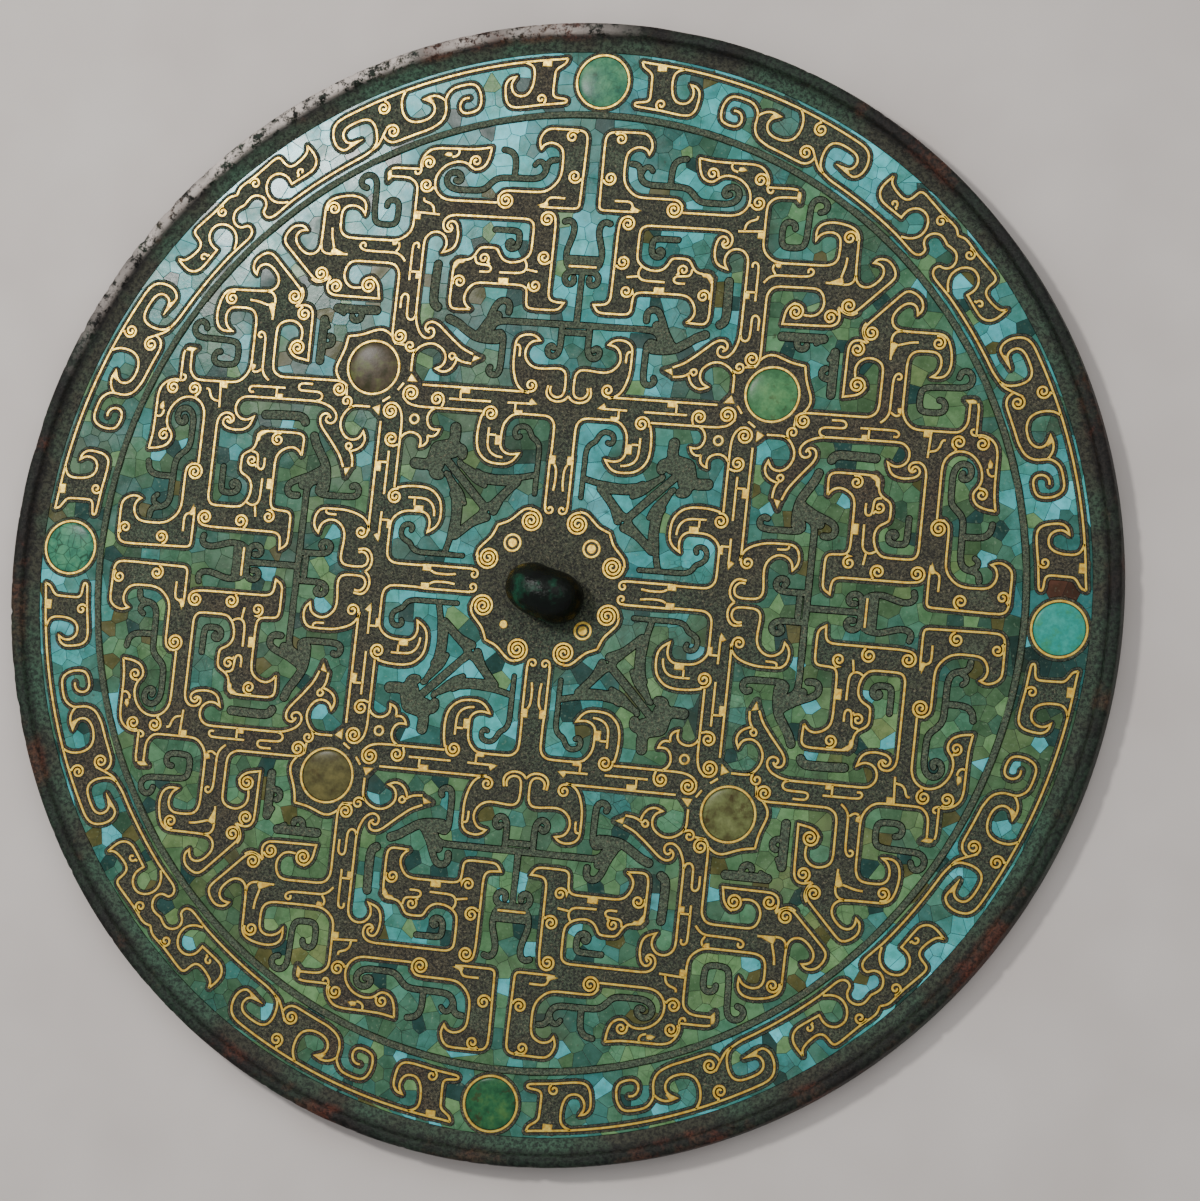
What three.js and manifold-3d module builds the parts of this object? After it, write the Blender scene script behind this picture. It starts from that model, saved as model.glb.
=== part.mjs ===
// Round bronze mirror lying on its reflecting face, with its inlaid back up.
// Millimetres, +Z up. The origin is the middle of the reflecting face, and +Y points to the top roundel.
// The ornament has eight equal sectors, so each mosaic bed is drawn once, in the sector between the
// +Y axis and the diagonal x = y, and then turned and mirrored round the mirror.

import * as THREE from 'three';
import { mergeVertices } from 'three/addons/utils/BufferGeometryUtils.js';
import Module from 'manifold-3d';

const wasm = await Module();
wasm.setup();

// Field, ridge ring and band, from the middle out
const ridgeInnerRadius = 92.7;
const ridgeWidth = 1.3;
const ridgeHeight = 0.3;
const ridgeSlope = 0.25;
const bandWidth = 12.2;
const ridgeOuterRadius = ridgeInnerRadius + ridgeWidth;
const bandOuterRadius = ridgeOuterRadius + bandWidth;

// Disc and rim
const plateThickness = 3.6;
const rimHeight = 5.4;
const rimLandWidth = 2.3;
const rimSlopeWidth = 3.0;
const rimFootDrop = 1.3;
const edgeRounding = 0.6;
const discSides = 48;
const outerRadius = bandOuterRadius + rimSlopeWidth + rimLandWidth;

// Mosaic beds
const bedDepth = 1.3;
const beddingLayer = 0.3;
const bedClearance = 0.3;

// Roundels: the band's stones lie on its middle line, and the field's stones on the diagonals
const bandRoundelPitchRadius = ridgeOuterRadius + bandWidth * 0.492;
const fieldRoundelOffset = ridgeInnerRadius * 0.4369;
const bandStoneRadius = bandWidth * 0.369;
const fieldStoneRadius = ridgeInnerRadius * 0.0507;
const stoneDome = 0.5;
const stoneCrownRatio = 0.62;
const stoneClearance = 0.3;
const stoneSides = 12;

// Loop knob
const knobLength = 16.4;
const knobWidth = 11.8;
const knobHeight = 8.8;
const knobSides = 16;
const cordHoleWidth = 6.6;
const cordHoleHeight = 4.8;

// Outlines of the mosaic beds in one sector, from the band to the middle, as x, y pairs. They are drawn
// for a field of radius 92.7 and a band from radius 94, 12.2 wide, and fitted to the sizes above.
// A bed that touches the +Y axis or the diagonal ends on it and meets its mirror image there.
const bandBed = [
  [15.0, 102.4], [25.0, 100.7], [39.0, 96.2], [39.8, 93.2], [37.0, 91.0], [34.9, 92.2],
  [37.4, 94.6], [35.4, 96.2], [32.8, 96.0], [30.2, 97.6], [26.0, 98.6], [23.8, 96.8],
  [23.8, 93.4], [27.6, 91.7], [29.7, 93.8], [28.4, 96.0], [30.0, 96.6], [31.0, 93.4],
  [31.6, 89.7], [20.8, 92.4], [20.7, 98.6], [18.6, 100.9], [16.9, 100.3], [15.6, 97.4],
];
const bandGapBed = [
  [55.0, 90.3], [60.6, 86.6], [57.2, 83.8], [57.2, 80.2], [62.6, 74.9], [64.4, 77.2],
  [66.4, 76.0], [65.6, 73.7], [62.3, 73.9], [50.8, 82.3], [53.4, 83.4], [55.3, 86.8],
];
const trefoilBed = [
  [64.7, 69.0], [67.8, 69.2], [68.2, 71.8], [69.6, 72.4], [70.5, 70.5], [66.85, 66.85],
];
const cornerBed = [
  [65.1, 65.1], [47.5, 47.5], [38.3, 48.8], [38.3, 60.7], [47.6, 60.7], [47.8, 57.4],
  [45.9, 57.4], [44.6, 59.2], [41.6, 59.0], [40.1, 53.6], [51.4, 53.6], [55.8, 57.0],
  [62.4, 63.6], [61.2, 66.8], [58.8, 68.4], [56.9, 67.2], [58.8, 65.4], [56.4, 63.3],
  [55.2, 64.6], [55.2, 71.8], [52.4, 74.2], [46.5, 75.2], [45.1, 71.0], [49.9, 71.6],
  [49.6, 66.9], [38.6, 66.9], [36.4, 69.4], [36.4, 77.4], [41.6, 77.2], [42.9, 79.6],
  [41.2, 81.2], [36.3, 81.6], [33.4, 84.8], [20.4, 86.0], [21.4, 81.2], [28.4, 81.8],
  [31.3, 79.0], [30.4, 75.8], [19.2, 75.6], [18.2, 78.1], [9.6, 78.2], [7.2, 80.6],
  [7.2, 85.0], [9.4, 86.4], [12.3, 85.6], [12.3, 91.3], [27.0, 88.1], [40.0, 82.9],
  [52.0, 76.0],
];
const sideBed = [
  [0, 73.4], [5.6, 73.4], [5.6, 57.0], [2.3, 56.6], [2.6, 53.4], [11.5, 53.4],
  [11.6, 57.8], [21.0, 57.8], [22.6, 55.6], [21.2, 52.4], [25.8, 52.3], [27.1, 54.4],
  [27.1, 62.4], [21.8, 66.6], [17.6, 66.6], [14.6, 63.9], [11.6, 65.4], [11.6, 71.1],
  [25.8, 71.1], [25.4, 66.0], [29.6, 63.8], [29.8, 67.3], [32.2, 66.2], [32.2, 51.6],
  [30.6, 49.9], [28.4, 51.0], [18.0, 44.6], [20.6, 41.7], [28.6, 41.0], [26.8, 43.8],
  [29.4, 45.3], [31.9, 43.2], [31.2, 38.5], [12.2, 38.5], [12.7, 48.0], [10.4, 49.9],
  [6.2, 48.4], [8.8, 45.6], [7.0, 43.3], [0, 43.5],
];
const squareBed = [
  [26.6, 26.6], [24.4, 28.6], [27.3, 30.4], [26.6, 32.5], [18.4, 32.5], [18.4, 26.4],
  [15.4, 23.2], [9.6, 22.9], [7.9, 26.2], [11.6, 27.0], [9.4, 32.5], [3.0, 31.6],
  [3.0, 16.2], [6.8, 15.4], [11.9, 11.9],
];

function solidOf(geometry) {
  const bare = geometry.index ? geometry.toNonIndexed() : geometry.clone();
  bare.deleteAttribute('normal');
  bare.deleteAttribute('uv');
  const merged = mergeVertices(bare, 1e-4);
  return new wasm.Manifold(new wasm.Mesh({
    numProp: 3,
    vertProperties: new Float32Array(merged.attributes.position.array),
    triVerts: new Uint32Array(merged.index.array),
  }));
}

function geometryOf(solid) {
  const mesh = solid.getMesh();
  const positions = new Float32Array((mesh.vertProperties.length / mesh.numProp) * 3);
  for (let i = 0; i < positions.length / 3; i += 1) {
    for (let k = 0; k < 3; k += 1) positions[i * 3 + k] = mesh.vertProperties[i * mesh.numProp + k];
  }
  const geometry = new THREE.BufferGeometry();
  geometry.setAttribute('position', new THREE.BufferAttribute(positions, 3));
  geometry.setIndex(new THREE.BufferAttribute(new Uint32Array(mesh.triVerts), 1));
  geometry.computeVertexNormals();
  return geometry;
}

function joined(solids) {
  return solids.reduce((sum, next) => sum.add(next));
}

function area(points) {
  return points.reduce((sum, [x, y], i) => {
    const [nextX, nextY] = points[(i + 1) % points.length];
    return sum + (x * nextY - nextX * y) / 2;
  }, 0);
}

// Moves each side of a closed outline inwards by a distance, and outwards by a negative one.
function inset(points, distance) {
  const ring = area(points) > 0 ? points : [...points].reverse();
  return ring.map((point, i) => {
    const before = ring[(i + ring.length - 1) % ring.length];
    const after = ring[(i + 1) % ring.length];
    const a = new THREE.Vector2(point[0] - before[0], point[1] - before[1]).normalize();
    const b = new THREE.Vector2(after[0] - point[0], after[1] - point[1]).normalize();
    const middle = new THREE.Vector2(-a.y - b.y, a.x + b.x).normalize();
    const reach = distance / Math.max(0.45, middle.dot(new THREE.Vector2(-a.y, a.x)));
    return [point[0] + middle.x * reach, point[1] + middle.y * reach];
  });
}

function prism(points, bottom, top) {
  const ring = area(points) > 0 ? points : [...points].reverse();
  const shape = new THREE.Shape(ring.map(([x, y]) => new THREE.Vector2(x, y)));
  const geometry = new THREE.ExtrudeGeometry(shape, { depth: top - bottom, bevelEnabled: false });
  geometry.translate(0, 0, bottom);
  return solidOf(geometry);
}

function fittedToField(points) {
  const scale = ridgeInnerRadius / 92.7;
  return points.map(([x, y]) => [x * scale, y * scale]);
}

function fittedToBand(points) {
  return points.map(([x, y]) => {
    const drawn = Math.hypot(x, y);
    const radius = ridgeOuterRadius + (drawn - 94) * (bandWidth / 12.2);
    return [x * (radius / drawn), y * (radius / drawn)];
  });
}

const plusY = ([x, y]) => [-x, y];
const diagonal = ([x, y]) => [y, x];

// A bed outline joined to its mirror image along one axis of the sector, so that both make one bed.
function doubled(points, mirror, onAxis) {
  const first = points.findIndex(onAxis);
  const turned = [...points.slice(first), ...points.slice(0, first)];
  const last = onAxis(turned[turned.length - 1]) ? turned.length - 1 : 0;
  const open = last ? turned : [...turned.slice(1), turned[0]];
  return [...open, ...open.slice(1, -1).reverse().map(mirror)];
}

const onPlusY = ([x]) => Math.abs(x) < 1e-6;
const onDiagonal = ([x, y]) => Math.abs(x - y) < 1e-6;

function turned(solid, quarterTurns, mirrored) {
  const placed = mirrored ? solid.mirror([1, 0, 0]) : solid;
  return placed.rotate([0, 0, -90 * quarterTurns]);
}

const bedFloor = plateThickness - bedDepth;
const tileTop = plateThickness;
const tileBottom = bedFloor + beddingLayer;
const through = 1;

// Each kind of bed: its name, its drawn outline, what it is fitted to, and whether it repeats eight times
// instead of four.
const bedKinds = [
  { name: 'band_mosaic', outline: bandBed, fitted: fittedToBand, mirrored: true },
  { name: 'band_gap_mosaic', outline: bandGapBed, fitted: fittedToBand, mirrored: true },
  { name: 'trefoil_mosaic', outline: doubled(trefoilBed, diagonal, onDiagonal), fitted: fittedToBand },
  { name: 'corner_mosaic', outline: doubled(cornerBed, diagonal, onDiagonal), fitted: fittedToField },
  { name: 'side_mosaic', outline: doubled(sideBed, plusY, onPlusY), fitted: fittedToField },
  { name: 'square_mosaic', outline: doubled(squareBed, diagonal, onDiagonal), fitted: fittedToField },
];

function bedHollow(kind) {
  return prism(kind.fitted(kind.outline), bedFloor, plateThickness + through);
}

function bedMosaic(kind) {
  return prism(kind.fitted(inset(kind.outline, bedClearance)), tileBottom, tileTop);
}

function discAndRim() {
  const rimTop = rimHeight;
  const landInner = outerRadius - rimLandWidth;
  const profile = [
    [0, 0],
    [outerRadius - edgeRounding, 0],
    [outerRadius, edgeRounding],
    [outerRadius, rimTop - edgeRounding],
    [outerRadius - edgeRounding, rimTop],
    [landInner, rimTop - edgeRounding / 2],
    [landInner - edgeRounding / 2, rimTop - rimFootDrop],
    [bandOuterRadius, plateThickness],
    [ridgeOuterRadius, plateThickness],
    [ridgeOuterRadius - ridgeSlope, plateThickness + ridgeHeight],
    [ridgeInnerRadius + ridgeSlope, plateThickness + ridgeHeight],
    [ridgeInnerRadius, plateThickness],
    [0, plateThickness],
  ];
  const geometry = new THREE.LatheGeometry(profile.map(([r, z]) => new THREE.Vector2(r, z)), discSides);
  geometry.rotateX(Math.PI / 2);
  geometry.rotateZ(Math.PI / discSides);
  return solidOf(geometry);
}

function knob() {
  const foot = 0.5;
  const profile = [
    [0, -foot],
    [0.9, -foot],
    [0.97, knobHeight * 0.18],
    [1.0, knobHeight * 0.4],
    [0.93, knobHeight * 0.66],
    [0.74, knobHeight * 0.86],
    [0.42, knobHeight * 0.97],
    [0, knobHeight],
  ];
  const geometry = new THREE.LatheGeometry(profile.map(([r, z]) => new THREE.Vector2(r, z)), knobSides);
  geometry.rotateX(Math.PI / 2);
  geometry.scale(knobLength / 2, knobWidth / 2, 1);
  geometry.translate(0, 0, plateThickness);
  return solidOf(geometry);
}

// The cord hole runs under the top of the knob along Y, with its floor at the plate.
function cordHole() {
  const half = cordHoleWidth / 2;
  const shape = new THREE.Shape();
  shape.moveTo(-half, 0);
  shape.lineTo(half, 0);
  shape.lineTo(half, cordHoleHeight * 0.6);
  shape.lineTo(half * 0.55, cordHoleHeight);
  shape.lineTo(-half * 0.55, cordHoleHeight);
  shape.lineTo(-half, cordHoleHeight * 0.6);
  const geometry = new THREE.ExtrudeGeometry(shape, { depth: knobWidth * 1.6, bevelEnabled: false });
  geometry.rotateX(Math.PI / 2);
  geometry.translate(0, knobWidth * 0.8, plateThickness);
  return solidOf(geometry);
}

function stoneGeometry(radius) {
  const edge = tileTop + 0.1;
  const profile = [
    [0, tileBottom],
    [radius, tileBottom],
    [radius, edge],
    [radius * stoneCrownRatio, edge + stoneDome],
    [0, edge + stoneDome],
  ];
  const geometry = new THREE.LatheGeometry(profile.map(([r, z]) => new THREE.Vector2(r, z)), stoneSides);
  geometry.rotateX(Math.PI / 2);
  return geometry;
}

function roundels() {
  const places = [];
  const names = ['top', 'right', 'bottom', 'left'];
  const corners = ['upper_right', 'lower_right', 'lower_left', 'upper_left'];
  for (let k = 0; k < 4; k += 1) {
    const angle = Math.PI / 2 - (k * Math.PI) / 2;
    places.push({
      name: `stone_${names[k]}`,
      x: bandRoundelPitchRadius * Math.cos(angle),
      y: bandRoundelPitchRadius * Math.sin(angle),
      radius: bandStoneRadius,
    });
    const turn = Math.PI / 4 - (k * Math.PI) / 2;
    places.push({
      name: `stone_${corners[k]}`,
      x: fieldRoundelOffset * Math.SQRT2 * Math.cos(turn),
      y: fieldRoundelOffset * Math.SQRT2 * Math.sin(turn),
      radius: fieldStoneRadius,
    });
  }
  return places;
}

function socket(place) {
  const profile = [
    [0, bedFloor],
    [place.radius + stoneClearance, bedFloor],
    [place.radius + stoneClearance, plateThickness + through],
    [0, plateThickness + through],
  ];
  const geometry = new THREE.LatheGeometry(profile.map(([r, z]) => new THREE.Vector2(r, z)), stoneSides);
  geometry.rotateX(Math.PI / 2);
  geometry.translate(place.x, place.y, 0);
  return solidOf(geometry);
}

const bronze = new THREE.MeshStandardMaterial({ color: 0x3d433c, roughness: 0.6, metalness: 0.55 });
const turquoise = new THREE.MeshStandardMaterial({ color: 0x4f9c95, roughness: 0.45, metalness: 0 });
const malachite = new THREE.MeshStandardMaterial({ color: 0x5c9471, roughness: 0.45, metalness: 0 });
const stone = new THREE.MeshStandardMaterial({ color: 0x5d8f7c, roughness: 0.25, metalness: 0 });

const mirror = new THREE.Group();

function place(name, geometry, material, x = 0, y = 0) {
  const mesh = new THREE.Mesh(geometry, material);
  mesh.name = name;
  mesh.position.set(x, y, 0);
  mirror.add(mesh);
}

const stones = roundels();
const hollows = [];
for (const kind of bedKinds) {
  const hollow = bedHollow(kind);
  const mosaic = bedMosaic(kind);
  const material = kind.name.startsWith('band') ? turquoise : malachite;
  for (let k = 0; k < 4; k += 1) {
    for (const mirrored of kind.mirrored ? [false, true] : [false]) {
      hollows.push(turned(hollow, k, mirrored));
      const suffix = kind.mirrored ? `${2 * k + (mirrored ? 2 : 1)}` : `${k + 1}`;
      place(`${kind.name}_${suffix}`, geometryOf(turned(mosaic, k, mirrored)), material);
    }
  }
}
const body = discAndRim()
  .subtract(joined(hollows))
  .subtract(joined(stones.map(socket)))
  .add(knob())
  .subtract(cordHole());
place('mirror_body', geometryOf(body), bronze);
for (const spot of stones) place(spot.name, stoneGeometry(spot.radius), stone, spot.x, spot.y);

export default mirror;
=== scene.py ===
# Round bronze mirror lying on its reflecting face, with its inlaid back up.
# Metres in Blender. Drawn sizes below are millimetres, with +Y towards the top roundel.
import math

import bpy
import numpy as np
from mathutils import Matrix, Vector
from mathutils import noise as ripple
from mathutils.geometry import delaunay_2d_cdt


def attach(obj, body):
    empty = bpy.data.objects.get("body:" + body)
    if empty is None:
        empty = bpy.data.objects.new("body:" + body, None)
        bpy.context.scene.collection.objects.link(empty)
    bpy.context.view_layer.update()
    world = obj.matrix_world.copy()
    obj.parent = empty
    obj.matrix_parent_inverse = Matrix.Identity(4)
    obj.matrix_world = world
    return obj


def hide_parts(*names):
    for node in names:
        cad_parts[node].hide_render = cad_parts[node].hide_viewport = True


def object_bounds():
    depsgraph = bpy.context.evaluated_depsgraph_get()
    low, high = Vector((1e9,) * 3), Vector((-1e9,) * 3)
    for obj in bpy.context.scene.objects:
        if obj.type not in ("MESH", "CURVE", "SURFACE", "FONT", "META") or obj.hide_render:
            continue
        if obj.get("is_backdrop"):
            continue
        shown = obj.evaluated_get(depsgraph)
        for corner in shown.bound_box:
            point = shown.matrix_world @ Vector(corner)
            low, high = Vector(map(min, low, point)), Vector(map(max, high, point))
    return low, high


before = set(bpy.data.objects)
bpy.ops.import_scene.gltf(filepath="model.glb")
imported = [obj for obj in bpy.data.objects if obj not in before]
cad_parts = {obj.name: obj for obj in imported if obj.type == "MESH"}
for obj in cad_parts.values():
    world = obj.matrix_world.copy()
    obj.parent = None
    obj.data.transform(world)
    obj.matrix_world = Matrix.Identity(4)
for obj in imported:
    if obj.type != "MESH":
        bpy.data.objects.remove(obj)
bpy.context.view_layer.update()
rng = np.random.default_rng(11)
MM = 0.001

# Sizes of the disc: radii of the ridge, of the rim's foot and of the inlaid face, then heights
RIDGE_INNER, RIDGE_OUTER = 92.7, 94.0
RIM_INNER, FACE_EDGE, DISC_EDGE = 106.0, 106.1, 106.6
BEDDING, PLATE_TOP = 3.0, 3.6
FACE_TOP = PLATE_TOP + 0.02

# The rim lip's painted highlight of bright metal, where the key light falls: its angle from +X and how far
# it fades, in degrees, and the radius where the dark lip starts
HIGHLIGHT_ANGLE, HIGHLIGHT_SPREAD = 124, 38
LIP_START = 107.9

# Gold: the radius of the band's outer line, half widths of the wire and of the dark strip of painted shadow
# along it, and the wire's foot and crown
OUTER_LINE = 104.5
WIRE_HALF, SHADOW_STRIP_HALF = 0.31, 0.45
WIRE_FOOT, WIRE_CROWN = PLATE_TOP - 0.05, PLATE_TOP + 0.13
BAND_STARTS = 93
SPIRAL_HEART, SPIRAL_PITCH = 0.22, 0.72
CORNER_ROUNDING = 1.1

# Bronze beside a wire up to the tiles, the dark gap between both, and each tile's joint and rounded edge
STRAP_MARGIN, STRAP_GAP = 0.78, 0.15
JOINT, TILE_EDGE = 0.035, 0.05
JOINT_DEPTH, EDGE_DEPTH = 0.06, 0.03
TILE_TOP = PLATE_TOP - 0.06

# The sector's two roundels, its small ring on the diagonal, and the rings round the knob
ROUNDELS = [(0, 100), (40.5, 40.5)]
RING_RADIUS, SOCKET_RADIUS, STONE_RADIUS = 5.3, 5.0, 4.95
STONE_MIDDLE, STONE_FLATNESS = 3.45, 0.08
SMALL_RING, SMALL_RING_RADIUS = 30.85, 0.85
KNOB_RING, KNOB_RING_RADIUS = 8, 1.6

# The knob: half sizes, heights, and how far it is off the middle. Then its cord hole: half sizes and height
KNOB_HALF = (7.9, 5.35, 6.3)
KNOB_FOOT, KNOB_MIDDLE = 3.3, PLATE_TOP + 2.5
KNOB_SHIFT, KNOB_TURN = (0.3 * MM, -1.5 * MM, 0), math.radians(-14)
HOLE_HALF, HOLE_MIDDLE = (3.3, 3.0), 5.4


def arc(radius, start, end, count):
    """Points along a circle round the mirror's axis, between two bearings in degrees."""
    a, b = math.radians(start), math.radians(end)
    turns = [a + (b - a) * k / count for k in range(count + 1)]
    return [(radius * math.sin(t), radius * math.cos(t)) for t in turns]


def bearing(x, y):
    """Degrees from +Y, clockwise."""
    return math.degrees(math.atan2(x, y))


def curl(cx, cy, r, way):
    """The mark at a wire's end that winds it into a spiral: middle, radius and sense."""
    return ("curl", cx, cy, r, way)


# The gold wires of one sector, between the +Y axis and the diagonal x = y. Seven more sectors mirror it.
# A point (x, y) is rounded, (x, y, 0) is a sharp corner, and a curl ends a wire in a spiral.
BAND_WIRES = [
    # the bracket beside the top roundel
    [(7.6, 104.35), (7.9, 103.3), (9.1, 102.6), (9.8, 101.9), (9.9, 101.2), (9.95, 97.5), (9.8, 96.8),
        (9.2, 96.35), (7.2, 96.25), (6.85, 95.85), (7.2, 95.4), (9, 95.2), (12.1, 94.85), (15, 94.3),
        (17.2, 94.0), (18.4, 94.2), (19.2, 95.0), (19.6, 96.3), (19.85, 98.3), (19.5, 99.3), (18.8, 99.95),
        (17.9, 100.15, 0), (18.5, 99.2), (18.6, 98.3), (18.3, 97.3), (17.5, 96.5), (16.5, 96.3), (15.3, 96.6),
        (14.5, 97.6), (14.1, 99), (14.05, 101), (14.3, 102.1), (15.0, 102.8), (16.3, 103.2)],
    [(7.6, 104.35)] + arc(OUTER_LINE, 5.2, bearing(53.0, 90.1), 26) + [(53.9, 89.3), (54.5, 88.3),
        (54.6, 87.2), (54.4, 86.0), (53.9, 84.9), (53.1, 84.0), (52.0, 83.6), (51.3, 83.9), (48.5, 85.9, 0),
        (49.6, 85.4), (50.7, 85.1), (51.6, 85.3), (52.3, 86.1), (52.5, 87.1), (52.0, 88.2), (50.5, 89.2),
        (49, 89.9), (48, 90.15), (47, 90.0), (46.2, 89.3), (45.6, 88.2), (45.3, 87), (45.2, 86), (45.3, 85.2),
        (45.9, 84.1)],
    [(11.3, 95.0), curl(12.25, 96.0, 1.05, -1)],
    # the S scroll and what hangs on it
    [(27.0, 95.5), (27.7, 95.45), (28.4, 95.0), (28.75, 94.2), (28.7, 93.3), (28.2, 92.6), (27.4, 92.35),
        (26.5, 92.5), (25.4, 92.9), (24.7, 93.5), (24.45, 94.4), (24.5, 95.4), (24.7, 96.4), (25.2, 97.4),
        (25.9, 98.1), (26.8, 98.35), (28, 98.15), (29.4, 97.75), (30.5, 97.3), (31.3, 96.5), (31.85, 95.3),
        (31.8, 94.4), (31.55, 93.4), (31.5, 92.4), (31.7, 91.4), (32.2, 90.5),
        (33.0, 89.75)] + arc(95.27, bearing(34.5, 88.9), bearing(40.5, 86.2), 5) + [(41.6, 85.8),
        (42.6, 85.85), (43.4, 86.3), (43.9, 87.0)],
    [(31.9, 94.7), (32.6, 95.25), (33.8, 95.65), (35, 95.5), (36.3, 94.8, 0), (35, 94.45), (34.2, 93.9),
        (33.85, 93.0), (34.0, 92.0), (34.7, 91.1), (35.8, 90.5), (37, 90.15), (38.2, 90.1), (39.4, 90.5),
        (40.3, 91.5), (40.8, 92.8), (41.0, 94.3), (40.75, 95.5), (40.3, 96.4)],
    [(44.4, 94.5), curl(44.6, 92.6, 1.4, 1)],
    [(45.9, 84.1), (45.0, 84.8), (44.4, 86.0), (43.9, 87.3), (43.4, 88.7), curl(42.1, 88.0, 1.4, 1)],
    [(45.9, 84.1)] + arc(95.4, bearing(47.5, 82.7), bearing(61.6, 72.9), 12) + [(63.0, 71.5), (64.5, 70.0),
        (65.3, 69.4), (66.2, 69.2), (67.0, 69.6), (67.4, 70.4), (67.0, 71.1), (66.9, 72.0), (67.3, 72.9),
        (68.2, 73.5), (69.3, 73.6), (70.2, 73.3), (70.9, 72.5), (71.5, 71.5)],
    [(59.7, 84.2, 0), (58.3, 82.9), (57.5, 81.7), (57.4, 80.4), (58.0, 79.2), (59.3, 78.2), (60.8, 77.2),
        (62.05, 76.3, 0), (62.8, 77.4), (63.8, 78.1), (65.0, 78.3), (66.2, 77.9), (67.1, 77.0), (67.4, 75.8),
        (67.2, 74.4), (66.4, 73.2), (65.3, 72.5), (63.9, 72.3), (62.4, 72.6)],
    [(59.7, 84.2, 0), (59.5, 83.0), (60.1, 81.9), (61.2, 80.7), (62.2, 79.9), (63.2, 79.8), (64.1, 80.4),
        (64.9, 81.3), (65.6, 81.5), (66.4, 81.0), (70.2, 77.2), (72.0, 75.8), (73.0, 74.8), (73.4, 73.4, 0)],
    [(71.3, 76.2), curl(69.85, 76.0, 1.15, 1)],
    [(61.0, 77.8), curl(60.4, 78.9, 0.8, 1)],
]
TOP_BAR_WIRES = [
    [(10.0, 74.6, 0), (8.6, 74.45), (2.6, 74.45), (2.05, 74.95), (2.0, 76), (1.8, 87), (1.85, 88.8),
        (2.4, 89.8), (3.6, 90.15), (9.3, 90.2), (10.3, 89.9), (11.1, 89.0), (11.5, 87.8), (11.4, 86.9),
        (11.0, 86.1, 0), (10.6, 86.8), (9.8, 87.25), (8.8, 87.4), (7.6, 87.0), (6.7, 86.2), (6.35, 85.0),
        (6.3, 81.6), (6.7, 80), (7.5, 78.9), (8.5, 78), (9.6, 77.5), (11, 77.35), (17.0, 77.35), (18.0, 77.1),
        (18.7, 76.2), curl(17.1, 75.4, 1.7, -1)],
    [(3.6, 90.15), curl(4.95, 88.8, 1.25, -1)],
    [(2.0, 80.3), curl(3.6, 80.9, 1.4, 1)],
    [(5.1, 76.45), (7.8, 76.5), (8.5, 76.2), (8.8, 75.4), (9.4, 74.9)],
]
COLUMN_WIRES = [
    [(22.0, 53.35, 0), (23.0, 54.1), (23.5, 55.2), (23.35, 56.4), (22.8, 57.5), (21.9, 58.4), (20.6, 58.75),
        (12.2, 58.75), (11.2, 58.4), (10.75, 57.6), (10.7, 55.2), (10.4, 54.5), (9.6, 54.15), (4.6, 54.15),
        (3.7, 54.6), (3.05, 55.7, 0), (5.0, 55.8), (5.9, 56.2), (6.35, 57.2), (6.4, 70.8), (6.6, 72.2),
        curl(8.2, 72.1, 1.6, -1)],
    [(22.0, 53.35, 0), (25.2, 53.15), (26.1, 53.6), (26.4, 54.8), (26.35, 61.4), (26.1, 62.3), (25.3, 62.9),
        (23.8, 63.1), (22.9, 63.4), (22.2, 64.1), (21.6, 65.3), (20.8, 65.85), (18.3, 65.85), (17.6, 65.5),
        (17.1, 64.4), (16.4, 63.6), (15.4, 63.15), (14.2, 63.1), (13.0, 63.35), (11.9, 63.9), (11.0, 64.8),
        (10.75, 66), (10.75, 70.3), (11.0, 71.3), (12.0, 71.95), (27.4, 71.95), (28.7, 71.5), (29.4, 70.6),
        (29.45, 69.6), (29.1, 68.8), (28.4, 68.4), (27.7, 68.6), (27.4, 69.3), (27.9, 69.9)],
    [(10.75, 58.2), (10.6, 59.0), curl(9.3, 58.8, 1.3, -1)],
    [(6.4, 63.4), curl(8.0, 64.5, 1.45, 1)],
    [(26.3, 58.2), curl(24.8, 58.7, 1.35, 1)],
    [(9.1, 61.55), (11.4, 61.9)],
    [(11.9, 63.8), (11.4, 63.0), (11.35, 62.2), (11.8, 61.4), (12.8, 61.05), (16.8, 61.0)],
    [(20.9, 60.95), (19.2, 60.9), (18.6, 61.3), (18.6, 61.9), (19.2, 62.35), (21.2, 62.4), (21.9, 62.8),
        (22.1, 63.9)],
    [(19.0, 62.5), curl(20.3, 63.6, 1.1, -1)],
    [(0, 63.1), (2.8, 63.1)],
]
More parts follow.
